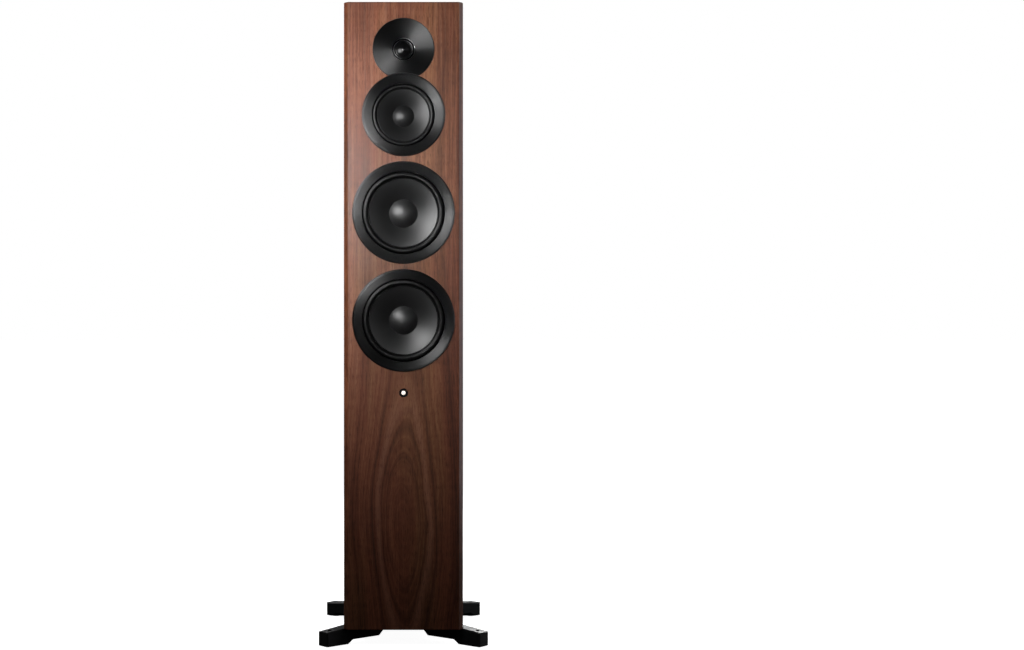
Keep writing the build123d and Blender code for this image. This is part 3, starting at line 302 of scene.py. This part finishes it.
def make_veneer_group():
    """Plain-sawn walnut. The vector's Z runs along the grain, X across it, in metres.

    The growth rings close in tall ovals around the flame's middle, and run straight far above and below it.
    """
    graph, given, out = new_group(
        "walnut_figure",
        (("Vector", VECTOR, None), ("Flame Height", FLOAT, 0.226), ("Flame Side", FLOAT, 0.0),
         ("Flame Width", FLOAT, 0.062), ("Side Tilt", FLOAT, 0.0)),
        (("Color", COLOUR), ("Roughness", FLOAT), ("Height", FLOAT)),
    )
    place = given["Vector"]
    split = graph.node("ShaderNodeSeparateXYZ", {"Vector": place})
    sway = graph.noise(graph.scaled(place, 6, 6, 2.4), 1, 2, 0.5)
    ripple = graph.noise(graph.scaled(place, 45, 45, 7), 1, 3, 0.55)
    warp = graph.math("ADD", graph.math("MULTIPLY", graph.math("SUBTRACT", sway, 0.5), 0.034),
                      graph.math("MULTIPLY", graph.math("SUBTRACT", ripple, 0.5), 0.011))
    centred = graph.math("SUBTRACT", split.outputs["X"], given["Flame Side"])
    across = graph.math("ADD", centred, warp)
    along = graph.math("DIVIDE", graph.math("SUBTRACT", split.outputs["Z"], given["Flame Height"]), 0.2)
    rise = graph.math("MULTIPLY", graph.math("TANH", along), given["Flame Width"])
    ring = graph.math("SQRT", graph.math("ADD", graph.math("MULTIPLY", across, across),
                                         graph.math("MULTIPLY", rise, rise)))
    ring = graph.math("ADD", ring, graph.math("MULTIPLY", warp, 0.35))

    # Growth rings: wide bands, narrower lines, and thin dark late wood with a sharp outer side.
    bands = graph.line_noise(graph.math("MULTIPLY", ring, 60), 3.0, 0.6)
    lines = graph.line_noise(graph.math("MULTIPLY", ring, 380), 2.0, 0.6)
    year = graph.math("FRACT", graph.math("ADD", graph.math("MULTIPLY", ring, 190),
                                          graph.math("MULTIPLY", bands, 5.0)))
    late = graph.ramp(year, ((0.0, 0.0), (0.55, 0.12), (0.90, 1.0), (1.0, 0.0)))
    faint = graph.noise(graph.scaled(place, 18, 18, 5), 1, 2, 0.5)
    late = graph.math("MULTIPLY", late, graph.ramp(faint, ((0.36, 0.0), (0.62, 1.0))))
    # The figure is quiet in the middle of the flame, and marked in the straight grain beside it.
    marked = graph.ramp(graph.math("MULTIPLY", ring, 10), ((0.10, 0.35), (0.55, 0.8), (0.85, 1.0)))

    fibre = graph.noise(graph.scaled(place, 2300, 2300, 55), 1, 3, 0.65)
    strands = graph.noise(graph.scaled(place, 620, 620, 12), 1, 3, 0.6)
    short_pores = graph.noise(graph.scaled(place, 1250, 1250, 75), 1, 2, 0.5)
    long_pores = graph.noise(graph.scaled(place, 600, 600, 34), 1, 2, 0.55)
    cloud = graph.noise(graph.scaled(place, 13, 13, 3.2), 1, 3, 0.5)
    warmth = graph.noise(graph.scaled(place, 21, 21, 2.3), 1, 2, 0.5)
    lustre = graph.noise(graph.scaled(place, 55, 55, 85), 1, 2, 0.5)

    tone = graph.math("MULTIPLY", marked, graph.math("SUBTRACT", bands, 0.5))
    tone = graph.math("ADD", graph.math("MULTIPLY", tone, 0.62), graph.math("MULTIPLY", lines, 0.14))
    tone = graph.math("ADD", tone, graph.math("MULTIPLY", cloud, 0.50))
    tone = graph.math("ADD", tone, graph.math("MULTIPLY", fibre, 0.20))
    tone = graph.math("ADD", tone, graph.math("MULTIPLY", strands, 0.26))
    tone = graph.math("ADD", tone, graph.math("MULTIPLY", lustre, 0.12))
    tone = graph.math("ADD", tone, graph.math("MULTIPLY", graph.math("MULTIPLY", late, marked), -0.11))
    # Painted light: the tone is lighter on one side of the panel and darker on the other, in proportion to
    # the distance sideways from the flame's middle.
    tone = graph.math("ADD", tone, graph.math("MULTIPLY", centred, given["Side Tilt"]))
    tone = graph.math("SUBTRACT", tone, 0.06)
    red_brown = graph.ramp(tone, (
        (0.16, (0.017, 0.0040, 0.0019)),
        (0.36, (0.060, 0.0160, 0.0074)),
        (0.52, (0.112, 0.0325, 0.0150)),
        (0.68, (0.180, 0.0585, 0.0275)),
        (0.88, (0.280, 0.1080, 0.0560)),
    ))
    olive_brown = graph.ramp(tone, (
        (0.16, (0.018, 0.0050, 0.0020)),
        (0.36, (0.060, 0.0185, 0.0075)),
        (0.52, (0.110, 0.0380, 0.0155)),
        (0.68, (0.175, 0.0680, 0.0290)),
        (0.88, (0.270, 0.1210, 0.0600)),
    ))
    wood = graph.mix(graph.ramp(warmth, ((0.42, 0.0), (0.62, 1.0))), red_brown, olive_brown)

    # Pale and dark streaks along the grain, more marked high up on the speaker.
    streaks = graph.noise(graph.scaled(place, 310, 310, 5.5), 1, 3, 0.6)
    reach = graph.math("MULTIPLY", graph.ramp(split.outputs["Z"], ((0.45, 0.22), (0.95, 1.0))), 0.75)
    streak_tone = graph.math("MULTIPLY", graph.math("SUBTRACT", streaks, 0.5), reach)
    gain = graph.math("ADD", streak_tone, 0.5)
    wood = graph.mix(graph.math("ABSOLUTE", graph.math("MULTIPLY", streak_tone, 1.9)), wood,
                     graph.ramp(gain, ((0.49, (0.022, 0.0080, 0.0045)), (0.51, (0.27, 0.135, 0.080)))))

    # The flame's outline: one pale ring with darker ones beside it.
    shift = graph.math("MULTIPLY", ring, 10)
    pale = graph.ramp(shift, ((0.44, 0.0), (0.485, 1.0), (0.515, 0.8), (0.56, 0.0)))
    shade = graph.ramp(shift, ((0.28, 0.0), (0.33, 0.45), (0.37, 0.0), (0.40, 0.0), (0.43, 0.9), (0.45, 0.0),
                               (0.56, 0.0), (0.60, 0.7), (0.66, 0.0)))
    near = graph.ramp(graph.math("ABSOLUTE", graph.math("MULTIPLY", along, 0.5)), ((0.50, 1.0), (0.68, 0.0)))
    wood = graph.mix(graph.math("MULTIPLY", graph.math("MULTIPLY", pale, near), 0.36), wood,
                     (0.27, 0.118, 0.072))
    wood = graph.mix(graph.math("MULTIPLY", graph.math("MULTIPLY", shade, near), 0.42), wood,
                     (0.020, 0.0060, 0.0032))

    # Open pores: short dark dashes along the grain.
    dashes = graph.math("MAXIMUM", graph.ramp(short_pores, ((0.34, 1.0), (0.42, 0.0))),
                        graph.math("MULTIPLY", graph.ramp(long_pores, ((0.32, 1.0), (0.42, 0.0))), 0.75))
    wood = graph.mix(graph.math("MULTIPLY", dashes, 0.62), wood, (0.017, 0.0058, 0.0032))
    graph.put(wood, out["Color"])
    rough = graph.math("ADD", graph.math("MULTIPLY", fibre, 0.10), graph.math("MULTIPLY", dashes, 0.18))
    graph.put(graph.math("ADD", rough, 0.52), out["Roughness"])
    height = graph.math("SUBTRACT", graph.math("MULTIPLY", fibre, 0.35), dashes)
    graph.put(height, out["Height"])
    return graph.tree


def make_speckle_group():
    """A fine even grain, as on powder coat, cast metal or moulded plastic, with faint wider patches."""
    graph, given, out = new_group(
        "fine_speckle",
        (("Vector", VECTOR, None), ("Grain Size", FLOAT, 0.0006), ("Patchiness", FLOAT, 0.5)),
        (("Height", FLOAT), ("Patches", FLOAT)),
    )
    scale = graph.math("DIVIDE", 1.0, given["Grain Size"])
    fine = graph.node("ShaderNodeTexNoise", {"Vector": given["Vector"], "Scale": scale, "Detail": 2.0,
                                             "Roughness": 0.6})
    patches = graph.noise(given["Vector"], 22, 3, 0.6)
    graph.put(fine.outputs["Fac"], out["Height"])
    spread = graph.math("MULTIPLY", graph.math("SUBTRACT", patches, 0.5), given["Patchiness"])
    graph.put(spread, out["Patches"])
    return graph.tree


def make_rings_group():
    """Fine turned grooves around a driver's axis, through a centre on the baffle."""
    graph, given, out = new_group(
        "turned_grooves",
        (("Vector", VECTOR, None), ("Centre Height", FLOAT, 1.0), ("Pitch", FLOAT, 0.0005)),
        (("Height", FLOAT),),
    )
    split = graph.node("ShaderNodeSeparateXYZ", {"Vector": given["Vector"]})
    up = graph.math("SUBTRACT", split.outputs["Z"], given["Centre Height"])
    radius = graph.math("SQRT", graph.math("ADD", graph.math("MULTIPLY", up, up),
                                           graph.math("MULTIPLY", split.outputs["X"], split.outputs["X"])))
    turns = graph.math("DIVIDE", graph.math("MULTIPLY", radius, 2 * pi), given["Pitch"])
    grooves = graph.math("SINE", turns)
    wander = graph.node("ShaderNodeTexNoise", {"W": graph.math("MULTIPLY", radius, 2600), "Scale": 1.0,
                                               "Detail": 2.0}, noise_dimensions="1D")
    graph.put(graph.math("ADD", graph.math("MULTIPLY", grooves, 0.5), wander.outputs["Fac"]), out["Height"])
    return graph.tree


VENEER = make_veneer_group()
SPECKLE = make_speckle_group()
GROOVES = make_rings_group()


# ---------------------------------------------------------------- materials

def new_material(name, **settings):
    """A material with its own Principled shader; settings go on the shader's sockets."""
    material = bpy.data.materials.new(name)
    material.use_nodes = True
    graph = Graph(material.node_tree)
    shader = material.node_tree.nodes["Principled BSDF"]
    for label, value in settings.items():
        socket = shader.inputs[label.replace("_", " ")]
        socket.default_value = (*value, 1) if isinstance(value, tuple) and len(value) == 3 else value
    place = graph.node("ShaderNodeTexCoord").outputs["Object"]
    return material, graph, shader, place


def use_group(graph, tree, **inputs):
    """Places a node group in a material, with its own values."""
    made = graph.node("ShaderNodeGroup")
    made.node_tree = tree
    for label, value in inputs.items():
        graph.put(value, made.inputs[label.replace("_", " ")])
    return made.outputs


def bump(graph, shader, height, distance, strength=1.0):
    made = graph.node("ShaderNodeBump", {"Height": height, "Distance": distance, "Strength": strength})
    graph.put(made.outputs["Normal"], shader.inputs["Normal"])


def veneer(name, turn=(0, 0, 0), shear=0.0, offset=(0, 0, 0), **figure):
    """Walnut veneer under satin lacquer. turn brings the grain's direction onto Z.

    shear moves the figure sideways with depth, so that it doesn't smear round the edges of a panel.
    """
    material, graph, shader, place = new_material(
        name, Coat_Weight=0.30, Coat_Roughness=0.27, Coat_IOR=1.5, Specular_IOR_Level=0.12)
    mapping = graph.node("ShaderNodeMapping", {"Vector": place, "Rotation": turn, "Location": offset},
                         vector_type="POINT")
    vector = mapping.outputs["Vector"]
    split = graph.node("ShaderNodeSeparateXYZ", {"Vector": vector})
    moved = graph.math("ADD", split.outputs["X"], graph.math("MULTIPLY", split.outputs["Y"], shear))
    vector = graph.node("ShaderNodeCombineXYZ", {"X": moved, "Y": split.outputs["Y"],
                                                 "Z": split.outputs["Z"]}).outputs["Vector"]
    wood = use_group(graph, VENEER, Vector=vector, **figure)
    graph.put(wood["Color"], shader.inputs["Base Color"])
    graph.put(wood["Roughness"], shader.inputs["Roughness"])
    bump(graph, shader, wood["Height"], 0.00010, 0.5)
    return material


def speckled(name, colour, roughness, grain=0.0006, depth=0.00003, patchiness=0.16, tint=0.15, **settings):
    """A plain finish with a fine grain in its surface and faint patches in its gloss and tone."""
    material, graph, shader, place = new_material(name, **settings)
    marks = use_group(graph, SPECKLE, Vector=place, Grain_Size=grain, Patchiness=patchiness)
    graph.put(graph.math("ADD", marks["Patches"], roughness, clamp=True), shader.inputs["Roughness"])
    light = tuple(min(1.0, c * (1 + tint)) for c in colour)
    deep = tuple(c * (1 - tint) for c in colour)
    graph.put(graph.mix(marks["Height"], deep, light), shader.inputs["Base Color"])
    bump(graph, shader, marks["Height"], depth)
    return material


def radial_direction(graph, place, centre):
    """The direction away from a driver's axis, in the baffle's plane."""
    split = graph.node("ShaderNodeSeparateXYZ", {"Vector": place})
    outward = graph.node("ShaderNodeCombineXYZ", {
        "X": split.outputs["X"], "Y": 0.0, "Z": graph.math("SUBTRACT", split.outputs["Z"], centre)})
    made = graph.node("ShaderNodeVectorMath", {0: outward.outputs["Vector"]}, operation="NORMALIZE")
    return made.outputs["Vector"]


def turned_finish(name, colour, roughness, centre, pitch=0.0004, depth=0.000006, stretch=1.0, **settings):
    """A finish with fine grooves around a driver's axis, which draw a light out into a radial streak."""
    material, graph, shader, place = new_material(
        name, Anisotropic=stretch, Specular_IOR_Level=0.38, **settings)
    rings = use_group(graph, GROOVES, Vector=place, Centre_Height=centre, Pitch=pitch)
    marks = use_group(graph, SPECKLE, Vector=place, Grain_Size=0.0007, Patchiness=0.08)
    graph.put(graph.math("ADD", marks["Patches"], roughness, clamp=True), shader.inputs["Roughness"])
    light = tuple(min(1.0, c * 1.3) for c in colour)
    graph.put(graph.mix(marks["Height"], colour, light), shader.inputs["Base Color"])
    graph.put(radial_direction(graph, place, centre), shader.inputs["Tangent"])
    height = graph.math("ADD", graph.math("MULTIPLY", marks["Height"], 0.4), rings["Height"])
    bump(graph, shader, height, depth)
    return material


# ---------------------------------------------------------------- mesh helpers

def finish_piece(name, bm, body, material, replaces=(), smooth=True):
    """Turns a bmesh into a piece that rides on a body and stands for the CAD nodes it replaces."""
    mesh = bpy.data.meshes.new(name)
    bmesh.ops.recalc_face_normals(bm, faces=bm.faces)
    bm.to_mesh(mesh)
    bm.free()
    if smooth:
        mesh.shade_smooth()
    obj = bpy.data.objects.new(name, mesh)
    bpy.context.scene.collection.objects.link(obj)
    obj.data.materials.append(material)
    if body:
        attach(obj, body)
    if replaces:
        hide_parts(*replaces)
    return obj


def turned_mesh(points, centre_z, steps=128, closed=True):
    """Spins a section around a driver's axis. The section's points are (radius, height), in metres."""
    bm = bmesh.new()
    verts = [bm.verts.new((r, FACE_Y - h, centre_z)) for r, h in points]
    pairs = list(zip(verts, verts[1:]))
    if closed:
        pairs.append((verts[-1], verts[0]))
    edges = [bm.edges.new(pair) for pair in pairs]
    bmesh.ops.spin(bm, geom=verts + edges, cent=(0, 0, centre_z), axis=(0, 1, 0), angle=2 * pi, steps=steps,
                   use_merge=True)
    bmesh.ops.remove_doubles(bm, verts=bm.verts, dist=1e-6)
    return bm


def crease_rings(bm, centre_z, points):
    """Makes the edges round a turned mesh sharp at the given points of its section."""
    for edge in bm.edges:
        ends = [(sqrt(v.co.x**2 + (v.co.z - centre_z) ** 2), FACE_Y - v.co.y) for v in edge.verts]
        for radius, height in points:
            if all(abs(r - radius) < 1e-5 and abs(h - height) < 1e-5 for r, h in ends):
                edge.smooth = False


def driver_centre(node):
    """The height of a driver's axis."""
    low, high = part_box(node)
    return (low.z + high.z) / 2


def radius_of(node):
    """A round node's outer radius."""
    low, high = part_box(node)
    return (high.x - low.x) / 2


def heights_of(node):
    """A node's lowest and highest level out of the baffle's face."""
    low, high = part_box(node)
    return FACE_Y - high.y, FACE_Y - low.y


# ---------------------------------------------------------------- front: drivers

def make_trim_ring(driver, material):
    """A driver's ring: a rounded outer edge, a crest, and a dish that falls to a lip round the surround."""
    node = f"{driver}_trim_ring"
    outer = radius_of(node)
    bore = radius_of(f"{driver}_surround") - 2 * MM
    low, proud = heights_of(node)
    seat = outer - 2.8 * MM
    crest = outer - 4.5 * MM
    section = [(bore, low), (seat, low), (seat, 0), (outer, 0), (outer, 0.9 * MM)]
    section += [(outer - 0.35 * MM, 1.6 * MM), (outer - 1.2 * MM, 2.3 * MM), (outer - 2.6 * MM, 2.7 * MM)]
    section += [(crest, proud)]
    dish_steps = 10
    lip = (bore + 0.9 * MM, -0.7 * MM)
    for i in range(1, dish_steps + 1):
        t = i / dish_steps
        sag = 0.3 * MM * sin(pi * t)
        section.append((crest + (lip[0] - crest) * t, proud + (lip[1] - proud) * t + sag))
    section += [(bore + 0.35 * MM, -1.0 * MM), (bore + 0.05 * MM, -1.5 * MM), (bore, -3.8 * MM)]
    bm = turned_mesh(section, driver_centre(node))
    finish_piece(node + "_turned", bm, CABINET, material, (node,))


def surround_section(driver):
    """The half roll between the cone's rim and the ledge under the trim ring."""
    base, crest = heights_of(f"{driver}_surround")
    rim = radius_of(f"{driver}_cone")
    outer_end = radius_of(f"{driver}_surround")
    skin = RUBBER_SKIN
    outer = outer_end - LEDGE
    middle, half = (outer + rim) / 2, (outer - rim) / 2
    rise = crest - base - skin
    steps = 14
    over, under = [], []
    for i in range(steps + 1):
        t = radians(180 * i / steps)
        over.append((middle + (half + skin / 2) * cos(t), base + skin * 0.6 + (rise + skin * 0.4) * sin(t)))
        under.append((middle + (half - skin / 2) * cos(t), base + (rise - skin * 0.1) * sin(t)))
    top = [(outer_end, base + skin), (over[0][0] + 0.4 * MM, base + skin)] + over
    top += [(over[-1][0] - 0.35 * MM, base + skin), (rim - GLUE_LAND, base + skin)]
    top += [(rim - GLUE_LAND - 0.2 * MM, base)]
    return top + under[::-1] + [(outer_end, base)], rim, outer


def make_surround(driver, material):
    """A driver's rubber surround, which bends between its cone and the cabinet."""
    node = f"{driver}_surround"
    section, rim, outer = surround_section(driver)
    centre = driver_centre(node)
    bm = turned_mesh(section, centre)
    surround = finish_piece(node + "_roll", bm, None, material, (node,))
    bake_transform(surround, CABINET, f"{driver}_diaphragm", (outer, FACE_Y, centre), (rim, FACE_Y, centre))
    # The roll follows the cone at its inner edge and the basket at its outer edge, all the way round.
    share = surround.data.attributes["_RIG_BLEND"]
    for vertex, value in zip(surround.data.vertices, share.data):
        radius = sqrt(vertex.co.x**2 + (vertex.co.z - centre) ** 2)
        t = min(1.0, max(0.0, (outer - radius) / (outer - rim)))
        value.value = t * t * (3 - 2 * t)


def make_cone(driver, material, dome_rise, depth):
    """A cone and its domed cap in one pressing, with the neck that holds the voice coil."""
    node = f"{driver}_cone"
    rim = radius_of(node)
    low, high = heights_of(node)
    neck = radius_of(f"{driver}_voice_coil") - 1.3 * MM
    neck_level = high - depth
    wall = CONE_WALL
    cap_radius = (neck**2 + dome_rise**2) / (2 * dome_rise)
    cap_centre = neck_level + dome_rise - cap_radius
    section = []
    steps = 16
    for i in range(steps + 1):
        r = neck * i / steps
        section.append((r, cap_centre + sqrt(cap_radius**2 - r**2)))
    # The wall flares a little: steepest at the neck. It meets the cap in a sharp crease.
    flare = []
    for i in range(1, steps + 1):
        t = i / steps
        flare.append((neck + (rim - CONE_RIM - neck) * t, neck_level + depth * (1.32 * t - 0.32 * t * t)))
    front = section + flare + [(rim - 0.5 * MM, high - 0.15 * MM), (rim, high - 0.45 * MM)]
    back = [(rim, high - wall)] + [(r, h - wall) for r, h in flare[::-1]]
    back += [(neck + COIL_NECK, neck_level - wall), (neck + COIL_NECK, low), (neck - COIL_NECK, low),
             (neck - COIL_NECK, neck_level - wall)]
    back += [(r, h - wall) for r, h in section[::-1][1:]]
    centre = driver_centre(node)
    bm = turned_mesh(front + back, centre, closed=False)
    corners = [section[-1], flare[-1], back[0]] + back[steps + 1:steps + 5]
    crease_rings(bm, centre, corners)
    finish_piece(node + "_formed", bm, f"{driver}_diaphragm", material, (node,))


def make_tweeter_dome(material):
    """The tweeter's cloth dome with its own small roll."""
    node = "tweeter_dome"
    centre = driver_centre(node)
    low, high = heights_of(node)
    base = low + DOME_CLOTH
    rise = high - base
    cap_radius = (DOME_RADIUS**2 + rise**2) / (2 * rise)
    over = [(r, base + rise - cap_radius + sqrt(cap_radius**2 - r**2))
            for r in (DOME_RADIUS * i / 12 for i in range(13))]
    middle, half, roll_rise = DOME_ROLL
    roll = [(middle - half * cos(t), base + roll_rise * sin(t))
            for t in (radians(180 * i / 10) for i in range(11))]
    front = over + roll + [(DOME_EDGE, base)]
    back = [(r, h - DOME_CLOTH) for r, h in front[::-1]]
    bm = turned_mesh(front + back, centre, closed=False)
    finish_piece("tweeter_dome_cloth", bm, "tweeter_diaphragm", material, (node,))


# ---------------------------------------------------------------- assignment of materials

def paint(node, material):
    """Gives a CAD node's slots a material."""
    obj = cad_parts[node]
    for slot in obj.material_slots:
        slot.material = material


def finish_speaker():
    """Makes the finishes, gives each node its own, and makes the drivers' turned pieces."""
    rubber = speckled("roll_rubber", (0.0012, 0.0012, 0.0013), 0.34, 0.0005, 0.000004, 0.08,
                      Specular_IOR_Level=0.16)
    cone = speckled("pressed_cone", (0.005, 0.005, 0.0053), 0.44, 0.0009, 0.00002, 0.06,
                    Specular_IOR_Level=0.68)
    small_cone = speckled("pressed_midrange_cone", (0.005, 0.005, 0.0053), 0.42, 0.0009, 0.00002, 0.06,
                          Specular_IOR_Level=0.42)
    foot = speckled("cast_black", (0.008, 0.008, 0.0085), 0.55, 0.0008, 0.00004, 0.2,
                    Specular_IOR_Level=0.2)
    anodised = speckled("anodised_black", (0.030, 0.031, 0.033), 0.40, 0.0004, 0.00001, 0.15, Metallic=0.6)
    plastic = speckled("moulded_black", (0.018, 0.018, 0.019), 0.40, 0.0006, 0.00002, 0.2)
    screw = speckled("blackened_steel", (0.045, 0.045, 0.048), 0.35, 0.0004, 0.00001, 0.2, Metallic=0.9)
    steel = speckled("zinc_steel", (0.50, 0.50, 0.52), 0.32, 0.0006, 0.00001, 0.25, Metallic=1.0)
    gold = speckled("gold_plate", (0.83, 0.62, 0.28), 0.22, 0.0005, 0.000006, 0.1, Metallic=1.0)
    board = speckled("fibreboard", (0.42, 0.30, 0.18), 0.8, 0.0012, 0.00008, 0.2)
    wool = speckled("polyester_wool", (0.74, 0.73, 0.70), 0.95, 0.002, 0.0008, 0.1)
    basket = speckled("cast_basket", (0.022, 0.022, 0.024), 0.5, 0.0009, 0.00005, 0.2)
    coil = speckled("coil_former", (0.36, 0.17, 0.06), 0.35, 0.0003, 0.00002, 0.1)
    spider = speckled("treated_cloth", (0.52, 0.40, 0.16), 0.85, 0.0006, 0.0001, 0.1)
    ferrite = speckled("ferrite", (0.030, 0.030, 0.032), 0.6, 0.0008, 0.00003, 0.2)
    foam = speckled("gasket_foam", (0.02, 0.02, 0.02), 0.9, 0.0008, 0.0001, 0.1)
    green = speckled("circuit_board", (0.012, 0.11, 0.045), 0.4, 0.0008, 0.00002, 0.2)
    grey = speckled("painted_steel", (0.06, 0.06, 0.065), 0.55, 0.0007, 0.00004, 0.2)
    pad = speckled("pad_rubber", (0.014, 0.014, 0.014), 0.7, 0.0007, 0.00005, 0.2)
    silk = speckled("coated_silk", (0.002, 0.002, 0.0022), 0.22, 0.0004, 0.000004, 0.06,
                    Specular_IOR_Level=0.26)
    tweeter = turned_finish("turned_tweeter_plate", (0.0014, 0.0014, 0.0015), 0.40,
                            driver_centre("tweeter_dome"))
    bezel = speckled("gloss_bezel", (0.008, 0.008, 0.009), 0.12, 0.0005, 0.000002, 0.05)
    lens = speckled("frosted_lens", (0.75, 0.70, 0.66), 0.25, 0.0005, 0.000004, 0.05,
                    Emission_Color=(1.0, 0.87, 0.78), Emission_Strength=0.85)

    # The front's tone is painted lighter on its left and darker on its right, as painted light falling from
    # the left.
    walnut_front = veneer("walnut_front", shear=1.0, Flame_Height=0.226, Flame_Side=FACE_Y + 0.002,
                          Side_Tilt=-0.5)
    walnut_left = veneer("walnut_left", turn=(0, 0, radians(90)), shear=1.0, offset=(0.0, 0.7, 0.4),
                         Flame_Height=0.5, Flame_Side=0.02, Flame_Width=0.08)
    walnut_right = veneer("walnut_right", turn=(0, 0, radians(90)), shear=1.0, offset=(0.03, 1.9, -0.3),
                          Flame_Height=0.3, Flame_Side=-0.03, Flame_Width=0.07)
    walnut_top = veneer("walnut_top", turn=(radians(90), 0, 0), shear=1.0, offset=(0.01, 0.3, 0.9))
    walnut_back = veneer("walnut_back", shear=1.0, offset=(0.02, 3.1, 0.5), Flame_Height=0.8,
                         Flame_Side=-0.02)
    by_node = {
        "front_baffle": walnut_front, "left_side_panel": walnut_left, "right_side_panel": walnut_right,
        "top_panel": walnut_top, "bottom_panel": walnut_top, "rear_panel": walnut_back,
        "midrange_chamber": board, "cabinet_braces": board, "damping_pads": wool,
        "driver_spiders": spider, "driver_magnets": ferrite, "driver_motor_plates": steel,
        "driver_screws": screw, "driver_gaskets": foam, "tweeter_faceplate": tweeter,
        "tweeter_voice_coil": coil, "tweeter_inner_dome": plastic,
        "tweeter_rear_chamber": plastic, "status_light_bezel": bezel, "status_light_lens": lens,
        "amplifier_plate": anodised, "amplifier_tray": grey, "amplifier_boards": green,
        "mains_inlet": plastic, "power_switch_frame": plastic, "power_rocker": plastic,
        "channel_switch": plastic, "pairing_button": plastic, "audio_jacks": gold, "network_jack": steel,
        "amplifier_screws": screw, "outrigger_bolts": screw,
    }
    for driver in CONE_DRIVERS:
        by_node[f"{driver}_basket"] = basket
        by_node[f"{driver}_voice_coil"] = coil
    for foot_name in FEET:
        by_node[f"outrigger_{foot_name}"] = foot
        by_node[f"levelling_stud_{foot_name}"] = steel
        by_node[f"levelling_pad_{foot_name}"] = pad
    for node, material in by_node.items():
        paint(node, material)
    for driver in CONE_DRIVERS:
        centre = driver_centre(f"{driver}_trim_ring")
        make_trim_ring(driver, turned_finish(f"turned_{driver}_ring", (0.0014, 0.0014, 0.0015), 0.40, centre))
        make_surround(driver, rubber)
    make_cone("midrange", small_cone, 8.5 * MM, 15 * MM)
    make_cone("upper_woofer", cone, 11 * MM, 20.5 * MM)
    make_cone("lower_woofer", cone, 11 * MM, 20.5 * MM)
    make_tweeter_dome(silk)


add_studio()
finish_speaker()
